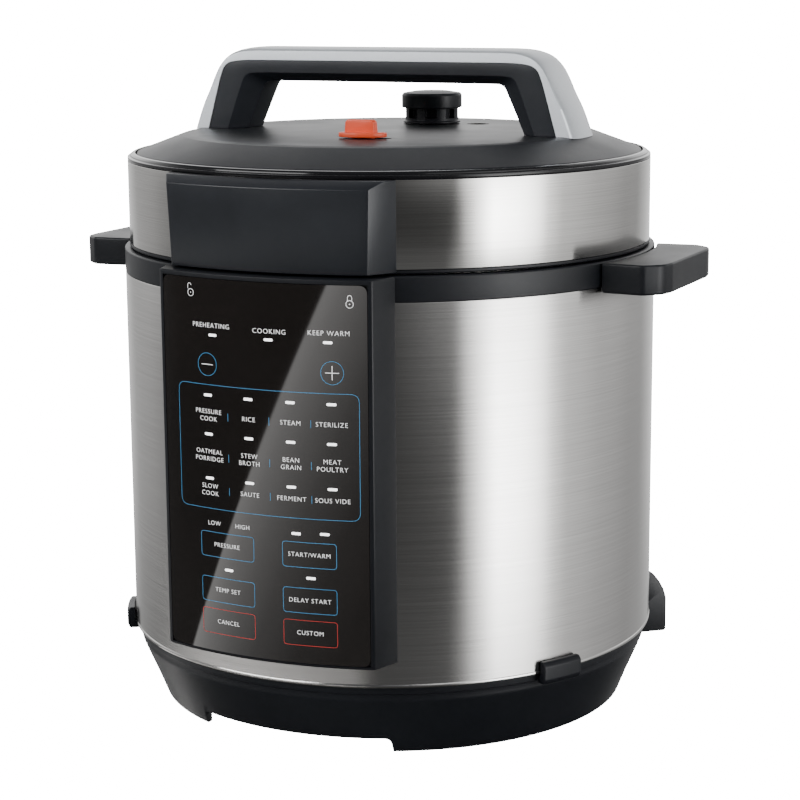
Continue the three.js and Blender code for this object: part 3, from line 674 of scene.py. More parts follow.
def arc(radius, start, end, steps=24):
    """Points round the cooker's axis from one turn to another."""
    ways = [compass(start + (end - start) * k / steps) for k in range(steps + 1)]
    return [(way.x * radius, way.y * radius) for way in ways]


def handle_outline(inset, side):
    low, high = span("side_handle_right")
    inner, reach = shell_radius + 0.7 + inset, high.x - inset
    half = high.y - 2 - inset
    start = math.degrees(math.acos(min(half / inner, 1)))
    wall = arc(inner, 180 - start, start)
    grip = fillet(
        [wall[-1], (reach - 10, -high.y + inset), (reach - 1.5, -high.y + 7 + inset),
         (reach, -high.y + 16), (reach, high.y - 16), (reach - 1.5, high.y - 7 - inset),
         (reach - 10, high.y - inset), wall[0]],
        [0, 5, 9, 12, 12, 9, 5, 0], closed=False, steps=7,
    )
    return [(side * x, y) for x, y in wall + grip[1:-1]]


def build_side_handle(name, side):
    low, high = span(f"side_handle_{name}")
    grip = prism(f"grip_{name}", handle_outline(0, side), low.z, high.z)
    hollow = prism("hollow", handle_outline(3, side), low.z - 3, high.z - 3.4)
    cut(grip, hollow)
    ease_edges(grip, 1.1, 4)
    fit_black(grip, "cooker_body", f"side_handle_{name}")


build_side_handle("right", 1)
build_side_handle("left", -1)

# --- Outer pot ---
# A deep drawn aluminium can that hangs in the collar by its flange. Eight teeth round its
# mouth point inwards over the lid's teeth.


def sector(name, inner, outer, middle, half, low, high, steps=8):
    start, end = middle - half, middle + half
    ring = arc(outer, start, end, steps) + arc(inner, end, start, steps)
    return prism(name, ring, low, high)


TEETH = 8
POT_TOOTH_HALF = 10
LID_TOOTH_HALF = 9
TOOTH_REACH = 3.5
pot_low, pot_high = span("inner_pot")
pot_radius = pot_high.x - 3.5
liner_radius = pot_radius + 2
satin_aluminium = plated_metal("satin_aluminium", (0.7, 0.71, 0.72), 0.42, 0.12, 25.0)


def build_outer_pot():
    low, top = flange_low.z, flange_high.z
    shoulder = top - 10
    profile = fillet(
        [(13, low), (liner_radius + 1.2, low), (liner_radius + 1.2, shoulder - 1.2),
         (mouth_radius + 1.2, shoulder - 1.2), (mouth_radius + 1.2, top - 2),
         (flange_radius, top - 2), (flange_radius, top), (mouth_radius - TOOTH_REACH, top),
         (mouth_radius - TOOTH_REACH, top - 2), (mouth_radius, top - 2), (mouth_radius, shoulder),
         (liner_radius, shoulder), (liner_radius, low + 1.2), (13, low + 1.2)],
        [0, 6, 1, 1, 0.6, 0.4, 0.4, 0.6, 0.4, 0.4, 1, 1, 5, 0],
    )
    can = turned("outer_can", profile)
    half = 180 / TEETH - POT_TOOTH_HALF
    inner, outer = mouth_radius - 8, mouth_radius + 0.01
    middles = [360 / TEETH * (k + 0.5) for k in range(TEETH)]
    cut(can, *[sector("gap", inner, outer, middle, half, top - 2.1, top + 1) for middle in middles])
    fit(can, "cooker_body", "aluminium", satin_aluminium, "outer_pot")


build_outer_pot()

# --- Heater and sensor ---
# A cast aluminium hot plate with turned grooves, seated over a ring element. A sprung aluminium
# button comes up through its middle and feels the bottom of the pot.

plate_high = span("heating_plate")[1]
cast_aluminium = plated_metal("cast_aluminium", (0.55, 0.56, 0.57), 0.55, 0.25, 90.0)
dark_metal = plated_metal("dark_steel", (0.34, 0.34, 0.33), 0.4)


def build_hot_plate():
    out, top = plate_high.x, plate_high.z
    low = top - 6.7
    grooves = []
    for radius in range(88, 16, -12):
        grooves += [(radius + 1, top), (radius + 0.4, top - 0.5)]
        grooves += [(radius - 0.4, top - 0.5), (radius - 1, top)]
    edge = [(out - 3, low), (out - 0.6, low + 2), (out, low + 3), (out, top - 1), (out - 1, top)]
    hole = [(17.6, top), (17, top - 0.6), (17, low)]
    plate = turned("hot_plate", hole[-1:] + edge + grooves + hole[:-1], 144)
    fit(plate, "cooker_body", "aluminium", cast_aluminium, "heating_plate")


build_hot_plate()
button_low, button_high = span("sensor_button")
button_section = fillet(
    [(0, button_low.z), (3.8, button_low.z), (3.8, button_high.z - 4),
     (button_high.x, button_high.z - 4), (button_high.x, button_high.z), (0, button_high.z)],
    [0, 0.4, 0, 0.6, 1.6, 0],
)
button = turned("sensor_cap", button_section, 64)
fit(button, "sensor", "aluminium", satin_aluminium, "sensor_button")
refinish("sensor_spring", zinc)
for node in ("heating_element", "sensor_bracket", "thermal_fuse"):
    refinish(node, dark_metal)

# --- Electronics ---
# Green glass-fibre boards with copper tracks under the lacquer, screwed inside the body and
# behind the panel, with black moulded parts on them and a grey ribbon cable between them.


def circuit_board(name):
    n = Finish(name)
    bricks = n.add("ShaderNodeTexBrick", Vector=n.place, Scale=260.0, Mortar_Size=0.03)
    lacquer, track = (0.012, 0.11, 0.035), (0.05, 0.24, 0.08)
    return n.done(
        Base_Color=n.ramp(bricks.outputs["Fac"], [(0.2, lacquer), (0.8, track)]), Roughness=0.35
    )


board_lacquer = circuit_board("board_lacquer")
part_black = moulded_plastic("moulded_part_black", (0.03, 0.032, 0.035), 0.5)
ribbon_grey = moulded_plastic("ribbon_grey", (0.42, 0.41, 0.38), 0.5)
for node in ("power_board", "control_board"):
    refinish(node, board_lacquer)
for node in ("relay", "transformer", "capacitor", "display_module"):
    refinish(node, part_black)
refinish("ribbon_cable", ribbon_grey)

# --- Mains inlet ---
# A black hood at the right rear, standing out of a notch in the steel body. Its mouth faces
# outwards and holds three flat brass pins.

brass = plated_metal("nickel_brass", (0.72, 0.58, 0.3), 0.3)
inlet_front = shell_radius + 13


def build_inlet():
    low, top = inlet_low.z, inlet_high.z
    side = fillet(
        [(-inlet_front, low), (-shell_radius + 18, low), (-shell_radius + 18, top),
         (-shell_radius + 1, top), (-inlet_front + 7.5, top - 4.5), (-inlet_front + 4, top - 9),
         (-inlet_front + 1.5, top - 13.5), (-inlet_front, top - 18.5)],
        [1.5, 0, 0, 1, 4, 5, 6, 5],
    )
    stand = Matrix(((0, 0, 1), (1, 0, 0), (0, 1, 0)))
    hood = prism("inlet_hood", side, -INLET_HALF, INLET_HALF, swing @ stand)
    mouth = fillet(
        [(-13, low + 4.5), (13, low + 4.5), (13, top - 18.5), (9, top - 15.5), (-9, top - 15.5),
         (-13, top - 18.5)], 2,
    )
    lying = Matrix(((1, 0, 0), (0, 0, -1), (0, 1, 0)))
    socket = prism("mouth", mouth, inlet_front - 18, inlet_front + 5, swing @ lying)
    dish = fillet(
        [(9 - inlet_front, top - 22), (24 - inlet_front, top - 5), (22 - inlet_front, top - 22)],
        [3, 3, 5],
    )
    ends = ((-20, -17.2), (17.2, 20))
    sides = [prism("side_dish", dish, start, end, swing @ stand) for start, end in ends]
    slots = []
    for x, z in ((-7, low + 12), (0, low + 16), (7, low + 12)):
        slot = rect(x - 1.4, x + 1.4, z - 2.8, z + 2.8)
        slots.append(prism("pin_slot", slot, shell_radius - 30, inlet_front, swing @ lying))
    cut(hood, socket, *sides, *slots)
    ease_edges(hood, 0.7, 3)
    fit_black(hood, "cooker_body", "inlet_housing")


build_inlet()
for k in (1, 2, 3):
    refinish(f"inlet_pin_{k}", brass)

# --- Condensation cup ---
# A smoked clear plastic cup that catches drips. It slides into a black moulded pocket fixed in
# the back of the steel body.


def smoked_plastic(name):
    n = Finish(name)
    shade = n.ramp(n.noise(30.0, 3.0), [(0.3, (0.42, 0.45, 0.48)), (0.7, (0.5, 0.53, 0.56))])
    return n.done(Base_Color=shade, Roughness=0.08, IOR=1.5, Transmission_Weight=0.75)


smoked = smoked_plastic("smoked_clear_plastic")


def cup_outline(inset):
    half, back, front = cup_high.x - inset, cup_low.y + inset, cup_high.y - inset
    return fillet(
        [(-half, back), (half, back), (half, front - 4), (half - 13, front), (-half + 13, front),
         (-half, front - 4)],
        [3, 3, 6, 14, 14, 6], steps=7,
    )


def build_cup():
    cup = prism("drip_cup", cup_outline(0), cup_low.z, cup_high.z)
    inside = prism("inside", cup_outline(1.6), cup_low.z + 1.8, cup_high.z + 2)
    cut(cup, inside)
    ease_edges(cup, 0.6, 3)
    fit(cup, "cup", "clear_plastic", smoked, "condensation_cup")


def build_pocket():
    half = cup_high.x + 1.9
    back = cup_low.y - 2
    start, end = 180 - 15.5, 180 + 15.5
    outline = arc(shell_radius + 2.3, start, end) + arc(shell_radius + 0.3, end, start)
    flange = prism("cup_pocket", outline, bracket_low.z, bracket_high.z)
    plan = rect(-half, half, back, shell_radius + 1)
    cut(flange, prism("tub", plan, cup_low.z - 3, cup_high.z + 3.6), operation="UNION")
    plan = rect(-half + 1.5, half - 1.5, back + 1.5, 170)
    cut(flange, prism("room", plan, cup_low.z - 1.4, cup_high.z + 2))
    ease_edges(flange, 0.5, 3)
    fit_black(flange, "cooker_body", "cup_bracket")


build_pocket()
build_cup()

# --- Control panel ---
# A black frame stands proud of the body and holds a gently bowed, glossy touch panel. The
# symbols are printed behind it in white, blue and red, with small white indicator lights.

PANEL_HALF = 55.3
PANEL_BOW = 9
glass_low, glass_high = span("panel_glass")
bow_radius = (PANEL_HALF ** 2 + PANEL_BOW ** 2) / (2 * PANEL_BOW)
bow_centre = panel_low.y + bow_radius


def on_bow(x, inset=0.0):
    """Point on the bowed front, a distance behind it."""
    return x, bow_centre - math.sqrt((bow_radius - inset) ** 2 - x * x)


def bow(half, inset=0.0, steps=40):
    return [on_bow(-half + 2 * half * k / steps, inset) for k in range(steps + 1)]


def build_panel_frame():
    edge = panel_high.x
    start = math.degrees(math.asin(edge / shell_radius)) - 0.05
    outline = bow(PANEL_HALF) + arc(shell_radius + 0.3, start, -start)
    body = prism("panel_surround", outline, panel_low.z, panel_high.z)
    ease_edges(body, 0.7, 3, 24)
    half = glass_high.x + 0.3
    plan = bow(half, -5) + bow(half, 1.7)[::-1]
    cut(body, prism("seat", plan, glass_low.z - 0.3, glass_high.z + 0.3))
    inside = bow(49.5, 4) + [(49.5, -100), (-49.5, -100)]
    hollow = prism("hollow", inside, panel_low.z + 6, panel_high.z - 6)
    window = prism("window", rect(-34, 34, -160, -100), 169, 203)
    cut(body, hollow, window)
    fit_black(body, "cooker_body", "panel_frame", smooth=25)


def panel_gloss(name):
    """Hard glossy sheet, nearly black with the faintest brown, its polish slightly uneven."""
    n = Finish(name)
    smear = n.noise(9.0, 2.0)
    shade = n.ramp(smear, [(0.3, (0.006, 0.005, 0.0045)), (0.7, (0.009, 0.0075, 0.0068))])
    return n.done(Base_Color=shade, Roughness=n.spread(smear, 0.015, 0.03), IOR=1.5)


PRINT_DEPTH = 0.12


def build_panel_glass():
    half = glass_high.x
    plan = bow(half, PRINT_DEPTH) + bow(half, 1.5)[::-1]
    sheet = prism("touch_panel", plan, glass_low.z, glass_high.z)
    face = fillet(rect(-half, half, glass_low.z, glass_high.z), 4, steps=8)
    keep = prism("keep", face, 100, 170, Matrix.Rotation(math.radians(90), 3, "X"))
    cut(sheet, keep, operation="INTERSECT")
    gloss = panel_gloss("panel_gloss_black")
    fit(sheet, "cooker_body", "panel_gloss", gloss, "panel_glass", smooth=25)


build_panel_frame()
build_panel_glass()


def ink(name, colour, glow):
    """Screen printed ink, with slight unevenness; indicator lights glow, and on the print the glow
    is painted light.
    """
    n = Finish(name)
    shade = n.ramp(n.noise(900.0, 1.0), [(0.2, tinted(colour, 0.9)), (0.8, colour)])
    return n.done(
        Base_Color=shade, Roughness=0.3, Emission_Color=(*colour, 1), Emission_Strength=glow
    )


class Print:
    """Flat printed shapes collected on the bowed panel; across is measured along the bow."""

    def __init__(self):
        self.points, self.faces = [], []

    def bend(self, across, height, depth):
        angle = across / bow_radius
        r = bow_radius - depth
        return r * math.sin(angle), bow_centre - r * math.cos(angle), height

    def patch(self, outline):
        count, start = len(outline), len(self.points)
        for depth in (0.06, PRINT_DEPTH + 0.02):
            self.points += [self.bend(a, h, depth) for a, h in outline]
        front = [start + k for k in range(count)]
        back = [start + count + k for k in range(count)]
        self.faces += [front, back[::-1]]
        self.faces += [[front[k - 1], back[k - 1], back[k], front[k]] for k in range(count)]

    def bar(self, across, height, width, tall):
        half, up = width / 2, tall / 2
        outline = rect(across - half, across + half, height - up, height + up)
        self.patch(fillet(outline, tall / 2.2, steps=3))

    def line(self, path, width, closed=False):
        """A drawn line, made of short patches so that it follows the bow."""
        if closed:
            path = path + path[:1]
        for a, b in zip(path, path[1:]):
            a, b = Vector(a), Vector(b)
            run = b - a
            if run.length < 1e-6:
                continue
            side = Vector((-run.y, run.x)).normalized() * width / 2
            lap = run.normalized() * width * 0.2
            count = max(1, int(run.length / 4))
            for k in range(count):
                start, end = a + run * k / count - lap, a + run * (k + 1) / count + lap
                corners = (start - side, end - side, end + side, start + side)
                self.patch([tuple(corner) for corner in corners])

    def box(self, left, right, low, high, radius):
        self.line(fillet(rect(left, right, low, high), radius, steps=4), KEY_LINE, closed=True)

    def ring(self, across, height, radius, width):
        turns = [2 * math.pi * k / 32 for k in range(32)]
        path = [(across + radius * math.cos(t), height + radius * math.sin(t)) for t in turns]
        self.line(path, width, closed=True)

    def word(self, text, across, height, size):
        """Plain capitals, as a mesh cut from a text object."""
        curve = bpy.data.curves.new("word", "FONT")
        curve.body = text
        curve.size = size * 1.32
        curve.space_character = 1.14
        curve.align_x = "CENTER"
        curve.align_y = "CENTER"
        curve.space_line = 1.1
        curve.offset = -0.018 * size
        curve.resolution_u = 3
        holder = bpy.data.objects.new("word", curve)
        bpy.context.scene.collection.objects.link(holder)
        bpy.context.view_layer.update()
        mesh = bpy.data.meshes.new_from_object(holder)
        for polygon in mesh.polygons:
            corners = [mesh.vertices[v].co for v in polygon.vertices]
            self.patch([(across + corner.x, height + corner.y) for corner in corners])
        bpy.data.objects.remove(holder)

    def make(self, name, material):
        print_piece = piece_from(name, self.points, self.faces)
        print_piece.data.materials.append(material)
        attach(print_piece, "cooker_body")


KEY_LINE = 0.24
SIGN_LINE = 0.3
PADLOCK_LINE = 0.22
LIGHT_SIZE = (4.6, 1.25)
COLUMNS = (-27.0, -4.5, 17.0, 37.0)
ROWS = (176.8, 158.2, 137.0)
PROGRAMS = (
    ("PRESSURE\nCOOK", "RICE", "STEAM", "STERILIZE"),
    ("OATMEAL\nPORRIDGE", "STEW\nBROTH", "BEAN\nGRAIN", "MEAT\nPOULTRY"),
    ("SLOW\nCOOK", "SAUTE", "FERMENT", "SOUS VIDE"),
)
LEFT_KEYS, RIGHT_KEYS = (-33.0, -3.0), (12.0, 38.5)
KEY_LEVELS = ((99.0, 111.0), (77.0, 89.0), (61.2, 73.4))
MINUS_AT, PLUS_AT, ADJUST_LEVEL, SIGN_HALF = -27.0, 37.5, 191.4, 3.2


def print_white():
    white = Print()
    stages = ((-24.5, 209.8, "PREHEATING"), (7, 209.2, "COOKING"), (36, 209.6, "KEEP WARM"))
    for across, height, text in stages:
        white.word(text, across, height, 2.5)
    for height, names, drop in zip(ROWS, PROGRAMS, (9.6, 10.2, 5.6)):
        for across, text in zip(COLUMNS, names):
            white.word(text, across, height - drop, 2.4)
    for across in (MINUS_AT, PLUS_AT):
        ends = (across - SIGN_HALF, across + SIGN_HALF)
        white.line([(end, ADJUST_LEVEL) for end in ends], SIGN_LINE)
    ends = (ADJUST_LEVEL - SIGN_HALF, ADJUST_LEVEL + SIGN_HALF)
    white.line([(PLUS_AT, end) for end in ends], SIGN_LINE)
    for across, text in ((-25, "LOW"), (-9, "HIGH")):
        white.word(text, across, 115.3, 2.3)
    keys = (("PRESSURE", "START/WARM"), ("TEMP SET", "DELAY START"), ("CANCEL", "CUSTOM"))
    for level, names in zip(KEY_LEVELS, keys):
        for sides, text in zip((LEFT_KEYS, RIGHT_KEYS), names):
            white.word(text, sum(sides) / 2, sum(level) / 2, 2.3)
    for across, level, lean in ((-36.0, 226.0, 1), (46.0, 224.6, 0)):
        white.ring(across, level - 1.4, 1.7, PADLOCK_LINE)
        white.bar(across, level - 1.4, 0.5, 0.5)
        shackle = [(-1.0, 0.2), (-1.0, 1.8), (-0.5, 2.6), (0.5, 2.6), (1.0, 1.8)]
        shackle += [] if lean else [(1.0, 0.2)]
        path = [(across + x - 0.7 * lean, level + z + 0.3 * lean) for x, z in shackle]
        white.line(path, PADLOCK_LINE)
    # The white ink's glow is painted light that brightens the print.
    white.make("printed_words", ink("white_ink", (0.9, 0.9, 0.9), 0.6))


def print_lights():
    lights = Print()
    for across in (-23.5, 6.6, 35.6):
        lights.bar(across, 205.4, 4.4, 1.2)
    places = [(across, height) for height in ROWS for across in COLUMNS]
    for across, height in places + [(-17.0, 93.4), (19.0, 115.0), (33.0, 115.5), (26.0, 94.0)]:
        lights.bar(across, height, *LIGHT_SIZE)
    lights.make("indicator_lights", ink("indicator_white", (0.95, 0.95, 0.95), 2.2))


def print_lines():
    blue = Print()
    blue.box(-45.0, 50.0, 122.4, 181.8, 4)
    for across in (MINUS_AT, PLUS_AT):
        blue.ring(across, ADJUST_LEVEL, 5.4, KEY_LINE)
    for row, height in enumerate((167.2, 147.6, 131.6)):
        for left, right in zip(COLUMNS, COLUMNS[1:]):
            middle = (left + right) / 2
            blue.line([(middle, height - 1.8), (middle, height + 1.8)], KEY_LINE)
    red = Print()
    for ink_print, level in zip((blue, blue, red), KEY_LEVELS):
        for sides in (LEFT_KEYS, RIGHT_KEYS):
            ink_print.box(*sides, *level, 1.6)
    # The blue and red inks' faint glow is painted light that brightens the lines.
    blue.make("printed_blue_lines", ink("blue_ink", (0.05, 0.24, 0.46), 0.15))
    red.make("printed_red_lines", ink("red_ink", (0.5, 0.03, 0.025), 0.15))


print_white()
print_lights()
print_lines()

# --- Cooking pot ---
# A pressed stainless steel pot with a rolled-out rim and a satin turned inside. It hangs loose
# by its rim in the outer pot and lifts out.

pot_steel = brushed_steel("satin_pot_steel", (0.72, 0.71, 0.69), 0.3, 0.2, 0.6)


def build_pot():
    low, top, r = pot_low.z, pot_high.z, pot_radius
    profile = fillet(
        [(0, low), (r - 4, low), (r, low + 6), (r, top - 1.2), (r + 3.5, top - 1.2), (r + 3.5, top),
         (r - 1.2, top), (r - 1.2, low + 6.4), (r - 4.6, low + 1.2), (0, low + 1.2)],
        [0, 10, 8, 1.2, 0.5, 0.5, 1.6, 8, 9, 0], steps=8,
    )
    pot = turned("cooking_pot_steel", profile)
    fit(pot, "cooking_pot", "pot_steel", pot_steel, "inner_pot")


build_pot()

# --- Lid shell ---
# A black moulded cover with a flat top and a sloping edge, a polished black trim ring, a
# brushed steel band, and a lower ring that closes over the collar.

trim_low = span("lid_trim_ring")[0]
band_low, band_high = span("lid_band")
ring_low, ring_high = span("lid_lower_ring")
knob_low, knob_high = span("steam_knob")
float_low, float_high = span("float_valve")
slider_low, slider_high = span("release_slider")
gloss_black = moulded_plastic("gloss_black_trim", (0.005, 0.005, 0.006), 0.1, 0.0, shine=0.3)
cover_top = span("lid_cover")[1].z
band_top = band_high.z
band_radius = band_high.x
plate_radius = shell_radius - 30.6
knob_middle = ((knob_low.x + knob_high.x) / 2, (knob_low.y + knob_high.y) / 2)
float_middle = ((float_low.x + float_high.x) / 2, (float_low.y + float_high.y) / 2)
SLIDER_X, SLIDER_Y = slider_low.x + 11, -52
screw_place = span("handle_screw_right")[1].x - 5
screw_places = (screw_place, -screw_place)


def bore(radius, low, high, steps, centre):
    return turned("hole", rect(0, radius, low, high), steps, centre)


def build_cover():
    b, p, t = band_radius, plate_radius, cover_top
    outside = fillet(
        [(b - 4.3, band_top - 4), (b - 4.3, band_top + 2.2), (b - 5.1, band_top + 3.8),
         (p, t - 1.0), (p - 3.4, t - 0.5), (0, t)],
        [0.4, 0, 2.2, 3.5, 14, 0], closed=False, steps=8,
    )
    inside = [
        (0, t - 2.5), (p - 4, t - 3.2), (p - 1, t - 3.5), (b - 7.3, band_top + 2.6),
        (b - 7.3, band_top - 4),
    ]
    cover = turned("lid_top", inside + outside, FINE)
    low, high = t - 30, t + 5
    tools = [bore(6.5, low, high, 48, knob_middle), bore(6, low, high, 48, float_middle)]
    tools += [bore(2.8, low, high, 24, (x, 0)) for x in screw_places]
    right, half = SLIDER_X + 16, 3.0
    slot = fillet(rect(SLIDER_X - 5, right, SLIDER_Y - half, SLIDER_Y + half), 2.4)
    tools.append(prism("slot", slot, low, high))
    score = rect(right + 1, right + 9, SLIDER_Y - 0.4, SLIDER_Y + 0.4)
    tools.append(prism("score", score, t - 0.5, high))
    cut(cover, *tools)
    fit_black(cover, "lid", "lid_cover", smooth=28)


def build_rings():
    b = band_radius
    section = fillet(
        [(b - 1.3, band_top + 0.2), (b - 0.1, band_top + 0.2), (b, band_top + 0.9),
         (b - 0.1, band_top + 1.9), (b - 1.3, band_top + 2.2), (b - 1.5, band_top + 2.9),
         (b - 2.6, band_top + 3.6), (b - 4, band_top + 3.9), (b - 4, trim_low.z),
         (b - 1.3, trim_low.z)],
        [0, 0.3, 0.5, 0.3, 0.3, 0.3, 0.8, 0.3, 0, 0],
    )
    trim = turned("lid_trim", section, FINE)
    fit(trim, "lid", "gloss_black", gloss_black, "lid_trim_ring")
    section = fillet(rect(b - SHELL_WALL, b, band_low.z, band_top), 0.25, steps=3)
    band = turned("lid_steel_band", section, FINE)
    band_steel = brushed_steel("brushed_band", (0.63, 0.62, 0.6), 0.14, 0.06)
    fit(band, "lid", "brushed_steel", band_steel, "lid_band")
    inner = mouth_radius - TOOTH_REACH + 0.2
    section = fillet(
        [(inner, ring_low.z), (b, ring_low.z), (b, band_low.z - 0.3), (b - 1.2, band_low.z - 0.3),
         (b - 1.2, ring_high.z), (b - 3.2, ring_high.z), (b - 3.2, band_low.z),
         (inner, band_low.z)],
        [0.5, 0.6, 0.2, 0, 0.3, 0.3, 0, 0.3],
    )
    lower = turned("lid_lower_edge", section, FINE)
    fit_black(lower, "lid", "lid_lower_ring")


build_cover()
build_rings()

# --- Lid block ---
# A black moulded block on the front of the lid. It lines up with the control panel when the
# lid is locked, and its top slopes down to the front.

block_low = span("lid_block")[0]
BLOCK_BOW = 7.6


def block_outline(half, front, back, steps=24):
    shares = [-1 + 2 * k / steps for k in range(steps + 1)]
    face = [(half * t, -front + BLOCK_BOW * t * t) for t in shares]
    start = math.degrees(math.asin((panel_high.x - 0.5) / (band_radius + 0.3)))
    return face + arc(back, start, -start, steps)


def build_block():
    back = band_radius + 0.3
    reach = -block_low.y
    levels = (
        (block_low.z, 51.0, reach - 1.0), (band_top - 3.4, 52.4, reach),
        (band_top, 57.0, back + 0.8),
    )
    points, count = [], 0
    for height, half, front in levels:
        outline = block_outline(half, front, back)
        count = len(outline)
        points += [(x, y, height) for x, y in outline]
    faces = [list(range(count))[::-1], [2 * count + k for k in range(count)]]
    block = piece_from("front_block", points, faces + side_faces(count, 2))
    ease_edges(block, 0.5, 3, 20)
    satin = moulded_plastic("satin_black_cover", (0.0115, 0.0132, 0.0168), 0.34, shine=0.35)
    fit(block, "lid", "black_plastic", satin, "lid_block", smooth=22)


build_block()

# --- Under the lid ---
# A pressed steel plate with eight teeth round its edge, a silicone seal on a wire rack, and
# the shield over the steam pipe.

seal_low, seal_high = span("sealing_ring")
rack_low, rack_high = span("seal_rack")
silicone = moulded_plastic("translucent_silicone", (0.62, 0.61, 0.57), 0.5, 0.05, 0.8)


def build_lid_plate():
    low = span("lid_inner_plate")[0].z
    skirt = mouth_radius - TOOTH_REACH - 0.5
    pan = low + 13.1
    profile = fillet(
        [(0, pan + 8), (60, pan + 7), (skirt - 15, pan + 3), (skirt - 11, pan - 1.5),
         (skirt - 1.5, pan - 1.5), (skirt - 1.5, low), (skirt, low), (skirt, pan),
         (skirt - 10.3, pan), (skirt - 14.3, pan + 4.5), (60, pan + 8.5), (0, pan + 9.5)],
        [0, 20, 4, 2, 1, 0.3, 0.3, 2, 2, 4, 20, 0], steps=6,
    )
    plate = turned("lid_inner_pan", profile)
    inner, outer = skirt - 1, mouth_radius - 0.5
    middles = [360 / TEETH * k for k in range(TEETH)]
    teeth = [sector("tooth", inner, outer, m, LID_TOOTH_HALF, low, low + 3) for m in middles]
    cut(plate, *teeth, operation="UNION")
    places = ((3.3, (0, 0)), (4.3, knob_middle), (3.6, float_middle))
    cut(plate, *[bore(radius, 200, 290, 32, centre) for radius, centre in places])
    fit(plate, "lid", "pot_steel", pot_steel, "lid_inner_plate")


def build_seal():
    low, top, out = seal_low.z, seal_high.z, seal_high.x
    middle = (low + top) / 2
    profile = fillet(
        [(out - 3.6, low), (out, low), (out, top), (out - 4.4, top), (out - 2.4, middle),
         (out - 4.6, low + 2.6)],
        [0.8, 0.8, 1, 1.2, 1.5, 1],
    )
    seal = turned("silicone_seal", profile, 180)
    fit(seal, "lid_seal", "silicone", silicone, "sealing_ring")
    radius = rack_high.x - 1.2
    height = (rack_low.z + rack_high.z) / 2
    turns = [math.pi * k / 6 for k in range(12)]
    wire = [(radius + 1.1 * math.cos(t), height + 1.1 * math.sin(t)) for t in turns]
    rack = turned("seal_wire", wire, 144)
    fit(rack, "lid_seal", "screw_steel", zinc, "seal_rack")


build_lid_plate()
build_seal()
for node in ("exhaust_pipe", "steam_shield"):
    refinish(node, dark_metal)
refinish("lid_centre_post", black_plastic)

# --- Lid handle ---
# A bar handle bridging the lid: a black moulded core with bevelled inner edges, and a silver
# painted cap that wraps its outer side. Its front and back end faces get a lighter copy of the
# lacquer, a painted highlight.

core_high = span("lid_handle")[1]
cap_low, cap_high = span("lid_handle_cap")
grip_top = cap_high.z
GRIP_TALL = 42.3
FOOT = cap_low.z - 2
FOOT_GAP = 0.15
# Faces turned at least this far to the front or back get the painted highlight.
HIGHLIGHT_FACING = 0.75


def rise(share):
    return grip_top - GRIP_TALL * (1 - share)


def smooth_run(points, count):
    """Rounds a run of points by corner cutting and spaces it evenly."""
    run = [Vector(p) for p in points]
    for _ in range(3):
        shorter = [run[0]]
        for a, b in zip(run, run[1:]):
            shorter += [a * 0.75 + b * 0.25, a * 0.25 + b * 0.75]
        run = shorter + [run[-1]]
    lengths = [0.0]
    for a, b in zip(run, run[1:]):
        lengths.append(lengths[-1] + (b - a).length)
    even = np.linspace(0, lengths[-1], count)
    xs = np.interp(even, lengths, [p.x for p in run])
    zs = np.interp(even, lengths, [p.y for p in run])
    return [Vector((x, z)) for x, z in zip(xs, zs)]


def both_sides(run):
    return run + [Vector((-p.x, p.y)) for p in reversed(run[:-1])]


r = shell_radius
outer_run = both_sides(smooth_run([
    (r - 28.6, FOOT), (r - 29.4, rise(0)), (r - 34, rise(0.29)), (r - 38.8, rise(0.48)),
    (r - 42.2, rise(0.65)), (r - 45.8, rise(0.79)), (r - 51, rise(0.93)), (r - 60, rise(1)),
    (r - 80, rise(1)), (0, rise(1)),
], 60))
core_run = both_sides(smooth_run([
    (r - 38.2, FOOT), (r - 39.4, rise(0)), (r - 44, rise(0.4)), (r - 46.6, rise(0.62)),
    (r - 49.5, rise(0.8)), (r - 58, rise(0.84)), (r - 80, rise(0.84)), (0, rise(0.84)),
], 60))
inner_run = both_sides(smooth_run([
    (r - 57.4, FOOT), (r - 58.2, rise(0)), (r - 67.5, rise(0.48)), (r - 69.6, rise(0.585)),
    (r - 76, rise(0.59)), (r - 90, rise(0.59)), (0, rise(0.59)),
], 60))


def swept(name, sections):
    """A piece lofted from front to back; each section is (y, outer run, inner run)."""
    points, count = [], 0
    for y, outer, inner in sections:
        loop = [*outer, *reversed(inner)]
        count = len(loop)
        points += [(p.x, y, p.y) for p in loop]
    faces = []
    half = count // 2
    last = len(points) - count
    for k in range(half - 1):
        faces.append([k, k + 1, count - 2 - k, count - 1 - k])
        faces.append([last + count - 1 - k, last + count - 2 - k, last + k + 1, last + k])
    return piece_from(name, points, faces + side_faces(count, len(sections) - 1))


def between(first, second, share):
    return [a * (1 - share) + b * share for a, b in zip(first, second)]


def cover_room(clearance):
    """The space of the lid cover, to seat the handle's feet on."""
    c, b, p, t = clearance, band_radius, plate_radius, cover_top
    return turned("cover_room", [
        (0, t - 30), (b, t - 30), (b - 4.3 + c, band_top + 2.2), (b - 5.1 + c, band_top + 3.8 + c),
        (p + c, t - 1.0 + c), (p - 3.4, t - 0.5 + c), (0, t + c),
    ], FINE)


def silver_paint(name, low, high):
    """Metallic silver lacquer between two shades: fine flakes under a satin clear coat."""
    n = Finish(name)
    flakes = n.add("ShaderNodeTexVoronoi", Vector=n.place, Scale=2600.0).outputs["Color"]
    fine = n.add("ShaderNodeSeparateColor", _0=flakes).outputs[0]
    dark, light = (low, low * 1.055, low * 1.11), (high, high * 1.05, high * 1.1)
    return n.done(
        Base_Color=n.ramp(fine, [(0.0, dark), (1.0, light)]), Metallic=0.25,
        Roughness=n.spread(fine, 0.3, 0.42, 0.0, 1.0), Normal=n.bump(fine, 0.04, 0.0001),
        Coat_Weight=0.3, Coat_Roughness=0.25,
    )


